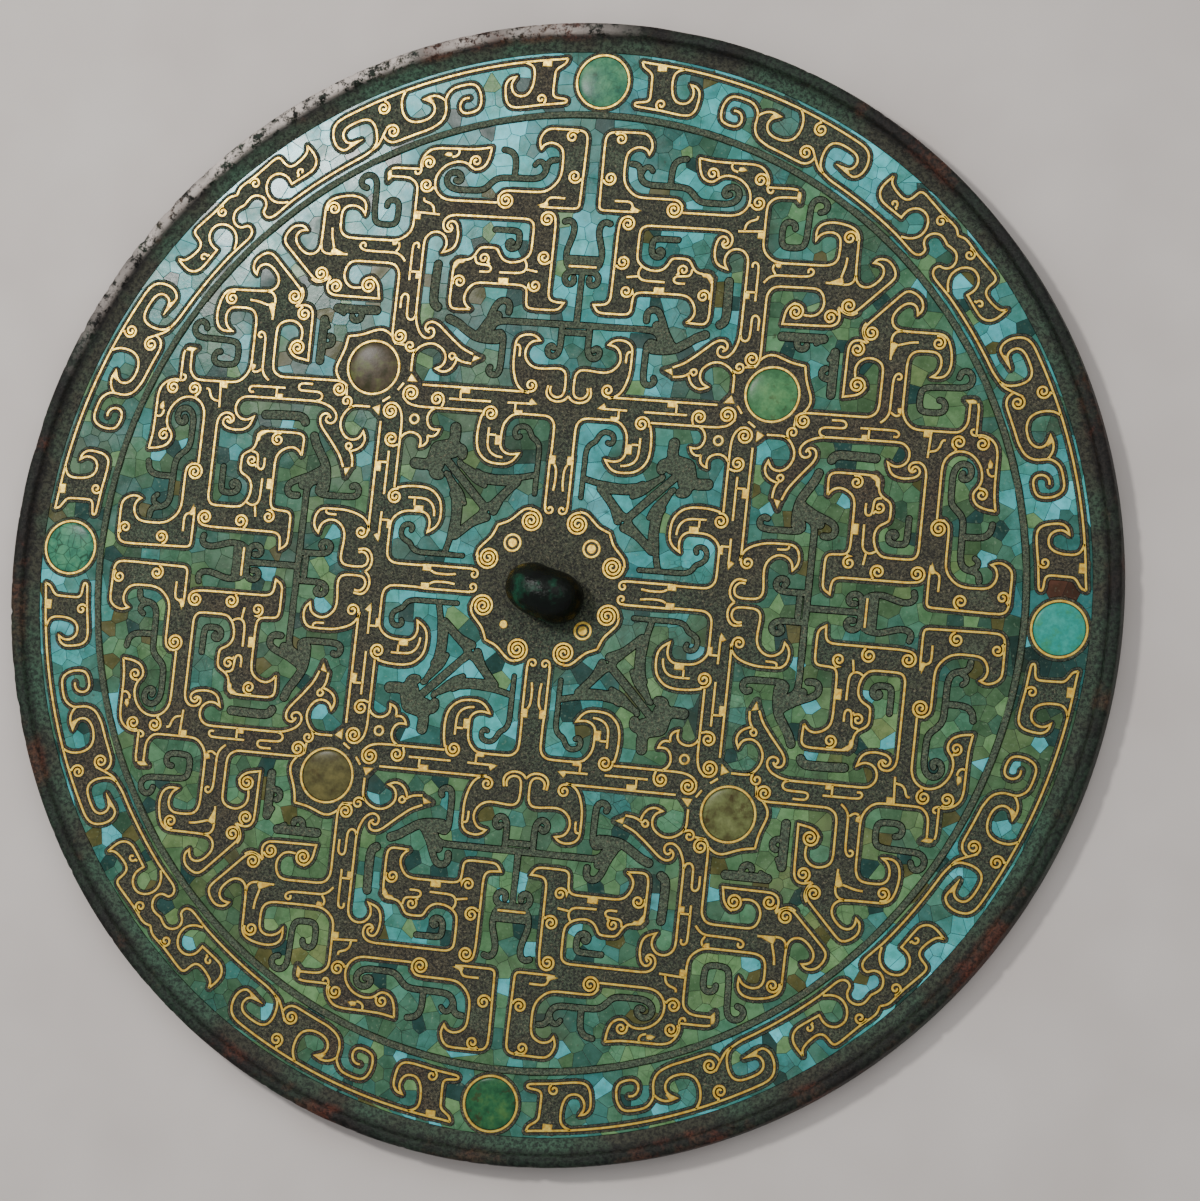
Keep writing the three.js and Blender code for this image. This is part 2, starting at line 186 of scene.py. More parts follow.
HOOK_WIRES = [
    [(27.7, 69.0), (28.5, 69.3), (28.6, 70.0), (28.1, 70.6), (27.3, 70.7), (26.6, 70.1), (26.25, 69.0),
        (26.1, 67.5), (26.4, 65.9), (27.2, 64.9), (29.0, 64.3, 0), (28.4, 65.2), (28.25, 66.3), (28.6, 67.3),
        (29.4, 68.1), (30.5, 68.4), (31.6, 68.2), (32.5, 67.5), (33.0, 66.4), (33.0, 51.8), (32.8, 50.4),
        (32.4, 49.2), (31.8, 48.0), (30.9, 47.2), (30, 46.95), (29.1, 47.3), (28.7, 48.1), (29.0, 49.0),
        (29.7, 49.2), (30.2, 48.7)],
    [(20.3, 44.45), (22.5, 45.35), (25, 47.3), (26.5, 48.6), (28, 49.9), (29.2, 50.4), (30.3, 50.2),
        (30.8, 49.3), (30.5, 48.5), (29.8, 48.2)],
    [(20.5, 42.6), (22, 42.7), (23.2, 43.1), (24.0, 43.8), (24.4, 43.0), (25.2, 43.6), (25.0, 44.3),
        (24.3, 44.4), (23.8, 43.8)],
    [(34, 64.9), (33.9, 65.6), (34.4, 66.0), (35.0, 65.7), (35.2, 65.0), (35.2, 58.4)],
    [(33.0, 60.1), (35.2, 60.1)],
    [(36.35, 52.7), (36.4, 54.8), (36.1, 55.4), (35.5, 55.65), (35.0, 55.3), (34.9, 54.6), (34.9, 51.5),
        (34.6, 50.7), (34, 50.4), (33.3, 50.7), (33.0, 51.6)],
]
CORNER_WIRES = [
    [(21.2, 85.8, 0), (24, 85.3), (26, 85.2), (32, 85.15), (33.6, 84.8), (34.7, 83.9), (35.3, 82.7),
        (35.5, 81.6), (35.2, 80.5), (35.6, 79.7), (36.3, 79.7), (36.5, 80.3)],
    [(35.3, 80.75), (40.6, 80.75), (41.4, 80.5)],
    [(41.3, 79.0), (38.6, 79.0), (37.2, 78.8), (36.1, 78.0), (35.6, 77.0), (35.6, 69.5), (35.9, 68.3),
        (36.7, 67.3), (37.8, 66.5), (39.2, 66.1), (48.2, 66.1), (49.6, 66.4), (50.5, 67.2), (50.8, 68.5),
        (50.8, 71), (50.4, 72), (49.5, 72.6), (48.4, 72.7), (47.2, 72.4), (46.4, 71.8), (45.9, 71.0, 0),
        (45.8, 72.5), (46.2, 73.6), (47.2, 74.35), (48.8, 74.65), (50.5, 74.5), (52.2, 74.1), (53.6, 73.4),
        (54.3, 72.2), (54.35, 64.8), (54.6, 63.5), (55.4, 62.6), (56.5, 62.3), (57.7, 62.6), (58.9, 63.6),
        (59.7, 64.7), (59.85, 65.8), (59.4, 66.7), (58.6, 67.1), (57.7, 67.2, 0), (58.3, 67.9), (59.3, 68.1),
        (60.5, 67.8), (61.5, 66.8), (62.1, 65.6), (62.1, 64.7), (61.6, 63.9), (55.4, 57.8), (54.8, 57.3),
        curl(53.7, 58.6, 1.6, -1)],
    [(55.5, 57.4), (54.6, 56.85), (53.6, 56.9), (52.4, 57.4), (51.7, 58.2)],
    [(51.6, 57.9), (52.0, 57), (52.1, 55.9), (51.7, 55.0), (50.7, 54.45), (49.5, 54.4), (41.0, 54.3, 0),
        (41.25, 55.8), (41.5, 57.0), (42.2, 58.0), (43.0, 58.45), curl(43.4, 56.8, 1.6, -1)],
    [(45.0, 56.3), (46.3, 56.1), (47.5, 56.4), (48.4, 57.3), (48.8, 58.4), (48.75, 59.4), (48.4, 60.5),
        (47.7, 61.3), (46.6, 61.6), (39.4, 61.55), (38.2, 61.1), (37.5, 60.0), (37.35, 59), (37.4, 47.6),
        (37.2, 46.4), (36.6, 45.7), curl(35.8, 47.1, 1.5, -1)],
    [(51.8, 56.9), curl(50.3, 56.2, 1.4, 1)],
    [(18.9, 74.85), (28.4, 74.8), (29.8, 75.0), (31.0, 75.7), (31.8, 76.7), (32.15, 78), (32.0, 79.4),
        (31.4, 80.6), (30.4, 81.6), (29.2, 82.3), (27.8, 82.65), (26.5, 82.6), (25.4, 82.1), (24.8, 81.5),
        (24.1, 81.2), (23, 81.4), (22, 82.2), (21.4, 83.8), (21.2, 85.8, 0)],
    [(35.3, 81.2), curl(33.8, 82.1, 1.45, 1)],
    [(32.0, 77.0), curl(33.8, 77.6, 1.45, 1)],
    [(25.5, 82.4), curl(24.1, 82.9, 1.2, 1)],
    [(54.3, 71.4), curl(52.5, 71.8, 1.4, 1)],
    [(27.9, 85.1), (27.7, 84.4), (28.2, 83.7), (29.1, 83.5)],
    [(34, 75), (34, 74.5), (33.5, 74.2), (32.6, 74.0), (31.8, 73.3), (31.6, 72.0)],
    [(30.4, 71.85), (35.4, 72.1)],
    [(36.5, 62.1), (37.3, 63.1), (38.5, 63.7), (45.0, 63.75), (46.0, 64.2), (46.2, 64.9), (45.6, 65.4),
        (45.0, 65.1), (45.1, 64.5)],
    [(38.2, 65.7), (37.9, 64.9), (38.6, 63.9)],
    [(52.4, 67.9), (52.3, 66.5), (51.9, 65), (51.6, 64)],
    [(52, 62.6), (53.3, 62.7), (54.2, 63.4), (54.4, 64.6)],
    [(48.7, 62.8), (52.2, 62.7)],
]
CASING_WIRES = [
    [(37.4, 47.0), (38.2, 47.7), (39.2, 48.15), (40.3, 48.15), (41.6, 47.7), (42.9, 47.15), (44.2, 46.75),
        (46.4, 46.4, 0)],
    [(32.2, 44.7), (32.4, 44.1), curl(33.4, 45.3, 1.15, 1)],
    [(34.6, 45.4), (35.4, 45.5), (36.4, 45.6)],
    [(32.65, 40.3), (32.7, 42.6), (32.6, 43.8), (32, 44.7), (31, 45.5), (29.8, 46), (28.5, 46.05),
        (27.2, 45.5), (26.2, 44.6), (25.8, 43.5), (25.95, 42.4), (26.5, 41.6), (27.6, 41.1, 0), (26.6, 40.6),
        (25.6, 40.6), (24.6, 41.1), (23.9, 42.1), (23.5, 43.3)],
    [(8.5, 37.75), (29.9, 37.75)],
    [(33.9, 37.8), (34.9, 36.4)],
    [(17.1, 33.35), (29.5, 33.35), (31.3, 33.5), (32.7, 34.0), (33.6, 35.0), curl(32.1, 35.9, 1.7, 1)],
    [(25.6, 33.4), (25.2, 34.6), curl(26.65, 35.1, 1.45, -1)],
    [(26.8, 33.3), (27.7, 32.7), (28.2, 31.7), (28.2, 30.7), (27.8, 29.7), (27.1, 29.1), (26.2, 29.0),
        (25.5, 29.1, 0), (25.7, 28.4), (26.3, 27.75), (27.1, 27.6), (27.75, 27.75, 0)],
]
SQUARE_WIRES = [
    [(0, 37.4), (0.7, 36.6), (1.8, 36.2), (3, 36.3), (4.0, 36.8), (4.6, 37.8), (4.3, 39.3)],
    [(3.7, 39.2), (3.9, 38.5), (3.7, 37.8), (3.0, 37.15), (2.0, 37.05), (1.2, 37.5), (0.87, 38.4),
        (0.87, 41.0), (1.1, 42.0), (1.7, 42.6), (2.6, 42.8), (4, 42.7), (5.5, 42.5), (7, 42.5), (8.2, 42.9),
        (9.2, 43.8), (9.7, 44.9), (9.7, 46.0), (9.2, 47.1), (8.4, 47.8), (7.0, 48.05, 0), (7.6, 48.7),
        (8.6, 49.1), (9.7, 49.1), (10.8, 48.8), (11.6, 48.1), (11.9, 47.2), (11.9, 43.6), (11.75, 42.2),
        (11.4, 40.8), (10.9, 39.5), (10.2, 38.5), (9.3, 37.9)],
    [(11.8, 46.9), (11.1, 46.9), (10.8, 46.4), (10.8, 44.7)],
    [(9.2, 37.8), (8.2, 37.6), curl(7.8, 39.1, 1.3, -1)],
    [(7.2, 35.45), (12.1, 35.4)],
    [(10.5, 35.3), (10.5, 33.6)],
    [(15.6, 35.35), (24.1, 35.35)],
    [(21.9, 35.35), (21.9, 37.2)],
    [(2.3, 24.9), (2.15, 26.2), (2.15, 31.2), (2.4, 32.2), (3.1, 33.0), (4.1, 33.35), (9.8, 33.35),
        (10.8, 33.05), (11.7, 32.3), (12.4, 31.2), (12.7, 30), (12.75, 27.2), (12.5, 26.3), (11.8, 25.6),
        (10.8, 25.25), (9.7, 25.3), (8.8, 25.5, 0), (9.4, 24.5), (10.1, 23.8), (11.1, 23.3), (12.5, 23.2),
        (14, 23.3), (15.3, 23.7), (16.3, 24.5), (17.1, 25.5), (17.5, 26.8), (17.65, 28.5), (17.5, 31.0),
        (17.1, 32.6), curl(15.3, 33.0, 1.55, 1)],
    [(15.35, 30.2), (15.35, 27.2), (15.1, 26.1), (14.4, 25.2), (13.2, 24.65), (12.0, 24.55)],
    [(13.8, 28.85), (15.3, 28.85)],
    [(2.3, 25.0), (2.3, 15.6), curl(1.25, 15.1, 1.0, -1)],
    [(1.3, 23.9), (0.8, 23.0), (0.75, 20.4), (1.0, 18.8)],
    [(4.9, 15.0), (5.8, 14.9), (6.7, 14.5), (8.2, 12.95), (9.3, 12.1), (10.4, 11.7), (11.3, 11.3, 0)],
]
# Gold plates: arrow heads as outlines, and square blocks as two corners
ARROW_PLATES = [
    [(34.1, 94.3), (35.0, 95.4), (36.3, 94.8), (35.0, 94.4)],
    [(48.6, 85.9), (50.9, 85.0), (51.3, 83.8), (50.4, 84.3)],
    [(8.6, 75.9), (9.2, 75.4), (10.7, 74.8), (8.8, 74.3), (8.3, 74.9)],
    [(23.7, 63.2), (24.4, 62.4), (25.2, 62.3), (25.6, 61.7), (26.1, 61.0), (26.5, 62.3), (25.8, 63.1),
        (25.0, 63.3)],
    [(18.5, 43.8), (20.1, 44.3), (20.5, 42.8)],
    [(29.1, 83.6), (29.3, 84.4), (30.2, 84.5), (31, 83.8), (30, 83.5)],
    [(41.4, 80.4), (42.0, 80.1), (42.2, 79.5), (42.0, 77.9), (41.2, 78.7)],
    [(38.1, 66), (39.7, 66), (39.5, 65.1), (38.7, 65.2)],
    [(48.7, 62.8), (50, 63.3), (51.8, 64.1), (52.2, 63.2), (52, 62.5)],
    [(31, 38.2), (33.3, 38.2), (32.5, 39.9)],
    [(6.0, 35.4), (7.4, 36.6), (7.8, 35.9), (7.6, 35.1)],
]
BLOCKS = [
    (10.75, 102.55, 12.7, 103.9), (14.75, 58.8, 16.9, 60), (33, 58.7, 34, 59.9), (34.3, 70.6, 35.7, 71.9),
    (8.9, 33.3, 10.6, 34.1), (20, 36.6, 22, 37.7), (12.75, 26.9, 13.9, 28.9), (1.15, 23.9, 2.3, 25.7),
]

# Bronze scrolls that stand inside the tile beds, each a half width and its middle line
SCROLLS = [
    (0.68, [(4.6, 71.9), (3.7, 72.2), (2.9, 71.8), (2.5, 70.8), (2.6, 69.4), (3.1, 67.8), (3.6, 66.2),
        (3.6, 64.8), (3.3, 63.6)]),
    (0.75, [(0, 64.6), (3.4, 64.6)]),
    (0.68, [(0.7, 62.1), (2.0, 62.2), (3.1, 61.7), (3.5, 60.8), (3.2, 59.8), (2.3, 59.4), (1.5, 59.9),
        (1.6, 60.8)]),
    (0.7, [(0, 52.0), (0, 63.6)]),
    (0.72, [(0, 51.5), (15.4, 51.5), (16.6, 50.9), (17.4, 49.6), (17.3, 48.3), (16.4, 47.6)]),
    (0.7, [(0, 50.0), (1.8, 50.0)]),
    (0.68, [(18.6, 69.5), (14.4, 69.5), (13.6, 69.1), (13.5, 68.0), (13.5, 67.0), (13.9, 66.1), (14.8, 65.8),
        (15.6, 66.1), (15.8, 66.9), (15.3, 67.4), (14.9, 67.1)]),
    (0.68, [(2.8, 50.8), (2.8, 46.6), (3.3, 45.4), (4.3, 45.0), (5.2, 45.6), (5.3, 46.7), (4.6, 47.3),
        (4.0, 46.8)]),
    (0.74, [(14.0, 53.3), (13.9, 54.4), (14.3, 55.3), (15.3, 55.6), (16.3, 55.2), (17.0, 54.0), (17.6, 52.4),
        (18.3, 50.8), (19.2, 49.2), (20.4, 48.2)]),
    (1.0, [(16.2, 52.4), (16.9, 51.0), (18.2, 49.4)]),
    (1.5, [(17.6, 50.6), (18.8, 48.6)]),
    (0.8, [(15.2, 49.0), (16.2, 48.9), (17.0, 48.3)]),
    (0.7, [(15.6, 49.1), (14.7, 48.8), (14.5, 47.6), (14.5, 42.2), (14.8, 41.0), (15.6, 40.6), (16.4, 40.8),
        (16.9, 41.5), (16.6, 42.1)]),
    (0.95, [(26.0, 51.2), (24.4, 50.6), (22.6, 49.4), (20.9, 48.3), (19.4, 47.8), (17.4, 47.6),
        (15.8, 47.7)]),
    (0.68, [(7.7, 84.0), (8.8, 83.9), (9.5, 83.1), (9.6, 81.6), (10.3, 80.5), (11.6, 80.0), (18.7, 79.9),
        (20.1, 79.3), (21.4, 77.7), (22.6, 77.1), (27.6, 77.0), (29.2, 77.6), (29.9, 78.8), (29.5, 80.1),
        (28.3, 80.6), (27.1, 80.2), (26.7, 79.2), (27.2, 78.6), (27.9, 78.9)]),
    (0.6, [(9.7, 82.0), (10.3, 83.4), (11.4, 83.6), (12.0, 82.8)]),
    (0.68, [(15.9, 80.2), (15.9, 82.8), (16.2, 84.4), (17.2, 85.3), (18.6, 85.5)]),
    (0.66, [(46.2, 76.4), (47.2, 76.7), (47.6, 77.7), (47.0, 78.7), (45.8, 79.1), (44.7, 78.6), (44.2, 77.4),
        (44.0, 71), (43.6, 69.6), (42.4, 69.2), (40.3, 69.2), (39.3, 69.7), (39.1, 71.0), (39.1, 73.2),
        (39.6, 74.1), (40.6, 74.3), (41.5, 73.8), (41.6, 73.0)]),
    (0.95, [(29.6, 61.9), (29.7, 60.4), (29.8, 54.8), (29.4, 53.8), (28.7, 53.4)]),
    (0.95, [(41.2, 51.9), (43.0, 51.9), (49.4, 51.9)]),
    (0.55, [(49.8, 51.8), (48.0, 50.9)]),
    (0.7, [(44.2, 51.4), (44.3, 50.2), (45.0, 49.6), (46.0, 49.8), (46.2, 50.4)]),
    (0.58, [(4.7, 17.9), (4.7, 27.0), (5.3, 28.3), (6.5, 28.9), (6.9, 30.0), (7.7, 30.9), (8.8, 31.0),
        (9.9, 30.5), (10.1, 29.3), (9.5, 28.6), (8.9, 28.9)]),
    (0.66, [(4.9, 21.6), (7.6, 20.9), (12.8, 20.4), (17.0, 21.0), (20.4, 22.6)]),
    (0.5, [(7.6, 20.9), (9.4, 19.6)]),
    (1.0, [(8.6, 20.0), (12.2, 19.9), (15.0, 20.0), (16.8, 21.0)]),
    (0.9, [(8.8, 19.6), (11.4, 16.8), (12.6, 13.9)]),
    (0.9, [(11.2, 17.0), (12.8, 15.2)]),
    (0.85, [(12.8, 15.2), (14.3, 14.3), (24.0, 24.0)]),
    (0.62, [(15.0, 18.8), (17.0, 19.6), (20.6, 23.0)]),
    (1.0, [(22.2, 25.2), (20.8, 25.9), (20.1, 25.2), (20.2, 24.4)]),
    (1.15, [(22.2, 29.7), (22.0, 27.4), (22.8, 26.4)]),
    (2.0, [(22.4, 25.6), (25.0, 25.0)]),
]
# Spirals that end no wire: middle, radius and sense
LOOSE_CURLS = [(4.75, 12.6, 2.25, 1)]


# ---------- drawing the lines ----------

def spiral(cx, cy, r, way, start):
    inward = r - SPIRAL_HEART
    turns = inward / SPIRAL_PITCH
    n = max(12, int(turns * 18))
    steps = [k / n for k in range(n + 1)]
    return [(cx + (r - inward * t) * math.cos(start + way * 2 * math.pi * turns * t),
             cy + (r - inward * t) * math.sin(start + way * 2 * math.pi * turns * t)) for t in steps]


def rounded(points):
    """A drawn line with its corners rounded, and its end wound into a spiral where it says so."""
    pts = [p for p in points if p[0] != "curl"]
    line = []
    for i, p in enumerate(pts):
        here = np.array(p[:2], float)
        if i in (0, len(pts) - 1) or len(p) > 2:
            line.append(here)
            continue
        before, after = np.array(pts[i - 1][:2], float), np.array(pts[i + 1][:2], float)
        la, lb = np.linalg.norm(before - here), np.linalg.norm(after - here)
        a = here + (before - here) * min(CORNER_ROUNDING, la / 2) / la
        b = here + (after - here) * min(CORNER_ROUNDING, lb / 2) / lb
        for t in (0, 0.25, 0.5, 0.75, 1):
            line.append((1 - t) ** 2 * a + 2 * t * (1 - t) * here + t * t * b)
    line = [tuple(p) for p in line]
    if points[-1][0] == "curl":
        _, cx, cy, r, way = points[-1]
        line += spiral(cx, cy, r, way, math.atan2(line[-1][1] - cy, line[-1][0] - cx))
    return line


def circle(cx, cy, r, n=48):
    turns = [2 * math.pi * k / n for k in range(n)]
    return [(cx + r * math.cos(t), cy + r * math.sin(t)) for t in turns]


def thinned(line, slack, closed=False):
    """Leaves out the points that a line doesn't need to keep its shape within the slack."""
    p = np.array(line, float)
    keep = np.zeros(len(p), bool)
    keep[0] = keep[-1] = True
    spans = [(0, len(p) - 1)]
    if closed:
        far = int(np.argmax(np.hypot(*(p - p[0]).T)))
        keep[far] = True
        spans = [(0, far), (far, len(p) - 1)]
    while spans:
        a, b = spans.pop()
        if b - a < 2:
            continue
        d = p[b] - p[a]
        length = math.hypot(*d)
        rel = p[a + 1:b] - p[a]
        off = np.abs(rel[:, 0] * d[1] - rel[:, 1] * d[0]) / length if length > 1e-9 else np.hypot(*rel.T)
        k = int(np.argmax(off))
        if off[k] > slack:
            keep[a + 1 + k] = True
            spans += [(a, a + 1 + k), (a + 1 + k, b)]
    return p[keep]


def sectors(line):
    """The eight mirror images of a line of the one sector."""
    p = np.array(line, float)
    return [q * [sx, sy] for q in (p, p[:, ::-1]) for sx in (1, -1) for sy in (1, -1)]


sector_wires = [rounded(wire) for wire in BAND_WIRES + TOP_BAR_WIRES + COLUMN_WIRES + HOOK_WIRES
                + CORNER_WIRES + CASING_WIRES + SQUARE_WIRES]
sector_wires += [spiral(cx, cy, r, way, math.pi * 0.45) for cx, cy, r, way in LOOSE_CURLS]
block_outlines = [[(a, b), (c, b), (c, d), (a, d)] for a, b, c, d in BLOCKS]

# ---------- where the tiles lie ----------
# Tiles fill the ground between the gold-edged straps. A grid over the quarter where x and y are positive
# holds each spot's distance from the gold and from the scrolls, as far as LINE_REACH from a line.
STEP, GRID_REACH = 0.125, 108
LINE_REACH, NO_LINE_NEAR = 2.0, 9.0
COUNT = int(GRID_REACH / STEP) + 1
GRID_START = -(COUNT - 1) * STEP
grid = np.arange(COUNT) * STEP
GX, GY = np.meshgrid(grid, grid)
GR = np.hypot(GX, GY)


def near(field, line, reach, half=0.0):
    """Lowers the field to the distance from a line, less the line's half width."""
    p = np.array(line, float)
    for a, b in zip(p[:-1], p[1:]):
        low = np.maximum(((np.minimum(a, b) - reach) / STEP).astype(int), 0)
        high = np.minimum(((np.maximum(a, b) + reach) / STEP).astype(int) + 1, COUNT - 1)
        if (high < low).any():
            continue
        window = (slice(low[1], high[1] + 1), slice(low[0], high[0] + 1))
        x, y = GX[window], GY[window]
        d = b - a
        t = np.clip(((x - a[0]) * d[0] + (y - a[1]) * d[1]) / max(d @ d, 1e-12), 0, 1)
        field[window] = np.minimum(field[window], np.hypot(x - a[0] - t * d[0], y - a[1] - t * d[1]) - half)


def quarter_images(line):
    """The images of a sector's line that reach into the quarter."""
    p = np.array(line, float)
    images = []
    for q in (p, p[:, ::-1]):
        images.append(q)
        if q[:, 0].min() < LINE_REACH + 0.5:
            images.append(q * [-1, 1])
        if q[:, 1].min() < LINE_REACH + 0.5:
            images.append(q * [1, -1])
    return images


def fill_inside(field, outline):
    """Sets the field to nothing inside an outline."""
    x, y = outline[:, 0], outline[:, 1]
    low = np.maximum((outline.min(0) / STEP).astype(int) - 1, 0)
    high = (outline.max(0) / STEP).astype(int) + 2
    window = (slice(low[1], high[1]), slice(low[0], high[0]))
    gx, gy = GX[window], GY[window]
    if gx.size == 0:
        return
    hit = np.zeros(gx.shape, bool)
    for x1, y1, x2, y2 in zip(x, y, np.roll(x, -1), np.roll(y, -1)):
        if y1 != y2:
            hit ^= ((y1 > gy) != (y2 > gy)) & (gx < (x2 - x1) * (gy - y1) / (y2 - y1) + x1)
    field[window][hit] = 0


def areas(free):
    """Numbers the separate areas of a grid, from runs along its rows."""
    parent, rows, before = [0], np.zeros(free.shape, np.int32), []

    def root(i):
        while parent[i] != i:
            i = parent[i]
        return i

    for r in range(free.shape[0]):
        steps = np.diff(np.concatenate([[0], free[r].astype(np.int8), [0]]))
        runs, j = [], 0
        for a, b in zip(np.flatnonzero(steps == 1), np.flatnonzero(steps == -1)):
            while j < len(before) and before[j][1] <= a:
                j += 1
            met = [root(run[2]) for run in before[j:] if run[0] < b]
            if met:
                mine = min(met)
                for i in met:
                    parent[i] = mine
            else:
                mine = len(parent)
                parent.append(mine)
            runs.append((a, b, mine))
            rows[r, a:b] = mine
        before = runs
    return np.array([root(i) for i in range(len(parent))])[rows]


gold = np.full((COUNT, COUNT), NO_LINE_NEAR)
scroll = np.full((COUNT, COUNT), NO_LINE_NEAR)
for wire in sector_wires:
    for image in quarter_images(wire):
        near(gold, image, LINE_REACH)
sector_rings = [circle(x, y, RING_RADIUS) for x, y in ROUNDELS]
sector_rings.append(circle(SMALL_RING, SMALL_RING, SMALL_RING_RADIUS))
for ring in sector_rings:
    for image in quarter_images(ring + ring[:1]):
        near(gold, image, LINE_REACH)
for outline in ARROW_PLATES + block_outlines:
    for image in quarter_images(list(outline) + [outline[0]]):
        near(gold, image, LINE_REACH)
        fill_inside(gold, image[:-1])
for half, line in SCROLLS:
    for image in quarter_images(rounded(line)):
        near(scroll, image, LINE_REACH + half, half)

# A spot in each of the three grounds, from which the rest of that ground is found
TILE_SEEDS = {"band": (66.5, 66.5), "field": (13.9, 40.0), "square": (13.5, 13.5)}
under_ridge = (GR > RIDGE_INNER + 0.2) & (GR < RIDGE_OUTER - 0.2)
numbered = areas((gold > STRAP_MARGIN) & (GR < RIM_INNER + 0.4) & ~under_ridge)
depth = {}
for name, (x, y) in TILE_SEEDS.items():
    mine = numbered == numbered[int(y / STEP), int(x / STEP)]
    depth[name] = np.minimum(np.where(mine, gold - STRAP_MARGIN, -0.4), scroll)
depth["band"] = np.minimum(depth["band"], np.minimum(GR - RIDGE_OUTER - 0.06, RIM_INNER - 0.16 - GR))
depth["field"] = np.minimum(depth["field"], RIDGE_INNER - 0.08 - GR)


def whole(quarter):
    """The whole disc's grid from the quarter's."""
    upper = np.concatenate([quarter[:, :0:-1], quarter], 1)
    return np.concatenate([upper[:0:-1], upper], 0)


def loops_of(level):
    """The closed lines where the grid passes through zero, with the positive side on the left."""
    inside = level > 0
    rows, cols = level.shape
    a, b, c, d = inside[:-1, :-1], inside[:-1, 1:], inside[1:, 1:], inside[1:, :-1]
    kind = a * 1 + b * 2 + c * 4 + d * 8
    size = rows * cols
    j, i = np.nonzero((kind > 0) & (kind < 15))
    k = kind[j, i]
    south, north = j * cols + i, (j + 1) * cols + i
    west, east = size + j * cols + i, size + j * cols + i + 1
    sides = np.stack([south, east, north, west], 1)
    S, E, N, W = range(4)
    # the step from side to side in each kind of cell, positive corners on the left
    steps = {1: [(S, W)], 2: [(E, S)], 3: [(E, W)], 4: [(N, E)], 5: [(S, E), (N, W)], 6: [(N, S)],
             7: [(N, W)], 8: [(W, N)], 9: [(S, N)], 10: [(W, S), (E, N)], 11: [(E, N)], 12: [(W, E)],
             13: [(S, E)], 14: [(W, S)]}
    follow = {}
    for value, moves in steps.items():
        hit = k == value
        for start, stop in moves:
            follow.update(zip(sides[hit, start].tolist(), sides[hit, stop].tolist()))
    flat = level.ravel()

    def place(side):
        if side < size:
            p, q, along = side, side + 1, (1, 0)
        else:
            p, q, along = side - size, side - size + cols, (0, 1)
        t = flat[p] / (flat[p] - flat[q])
        return (p % cols + along[0] * t) * STEP + GRID_START, (p // cols + along[1] * t) * STEP + GRID_START

    loops = []
    while follow:
        first, nxt = follow.popitem()
        loop = [first]
        while nxt != first and nxt in follow:
            loop.append(nxt)
            nxt = follow.pop(nxt)
        if len(loop) > 6:
            loops.append(np.array([place(s) for s in loop]))
    return loops


def loop_area(p):
    return 0.5 * np.sum(p[:, 0] * np.roll(p[:, 1], -1) - np.roll(p[:, 0], -1) * p[:, 1])


def outlines_of(level):
    """The loops of a grid with no more points than they need, and without specks."""
    slack, speck = 0.03, 0.12
    loops = [thinned(np.vstack([loop, loop[:1]]), slack, closed=True)[:-1]
             for loop in loops_of(level) if abs(loop_area(loop)) > speck]
    return [loop for loop in loops if len(loop) > 2]


def triangles(loops, extra_points=(), extra_edges=()):
    """Triangles of the plane that follow every loop and edge."""
    points, edges = [], []
    for loop in loops:
        n = len(points)
        points += [Vector(p) for p in loop]
        edges += [(n + k, n + (k + 1) % len(loop)) for k in range(len(loop))]
    n = len(points)
    points += [Vector(p) for p in extra_points]
    edges += [(n + a, n + b) for a, b in extra_edges]
    verts, _, faces, _, _, _ = delaunay_2d_cdt(points, edges, [], 0, 1e-4)
    return np.array([tuple(v) for v in verts]), np.array(faces, int)


def look_up(field, points):
    """The value of a whole grid at points in the plane."""
    f = np.clip(points / STEP + COUNT - 1, 0, field.shape[0] - 1.001)
    i = f.astype(int)
    t = f - i
    x, y, u, v = i[:, 0], i[:, 1], t[:, 0], t[:, 1]
    return ((field[y, x] * (1 - u) + field[y, x + 1] * u) * (1 - v)
            + (field[y + 1, x] * (1 - u) + field[y + 1, x + 1] * u) * v)


# ---------- making pieces ----------

def added(name, data):
    thing = bpy.data.objects.new(name, data)
    bpy.context.collection.objects.link(thing)
    return thing


def mesh_piece(name, verts, faces, material, slot, *nodes):
    """A new piece from points in millimetres."""
    mesh = bpy.data.meshes.new(name)
    mesh.from_pydata((np.asarray(verts, float) * MM).tolist(), [], [list(map(int, f)) for f in faces])
    mesh.validate()
    return finish_piece(added(name, mesh), material, slot, *nodes)


def finish_piece(piece, material, slot, *nodes):
    """Gives a piece its material and its body, and hides the CAD nodes that it stands for. The slot is not
    used.
    """
    piece.data.materials.clear()
    piece.data.materials.append(material)
    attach(piece, "root")
    if nodes:
        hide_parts(*nodes)
    return piece


def alone(piece):
    bpy.ops.object.select_all(action="DESELECT")
    piece.select_set(True)
    bpy.context.view_layer.objects.active = piece


def named(piece, name):
    piece.name = piece.data.name = name
    return piece


def turn_outwards(piece):
    alone(piece)
    bpy.ops.object.mode_set(mode="EDIT")
    bpy.ops.mesh.select_all(action="SELECT")
    bpy.ops.mesh.normals_make_consistent(inside=False)
    bpy.ops.object.mode_set(mode="OBJECT")


def turn_upwards(piece):
    for polygon in piece.data.polygons:
        if polygon.normal.z < 0:
            polygon.flip()


def set_point_values(piece, name, values):
    """An attribute that a material reads: one number for each point."""
    attribute = piece.data.attributes.new(name, "FLOAT", "POINT")
    attribute.data.foreach_set("value", np.array(values, np.float32))


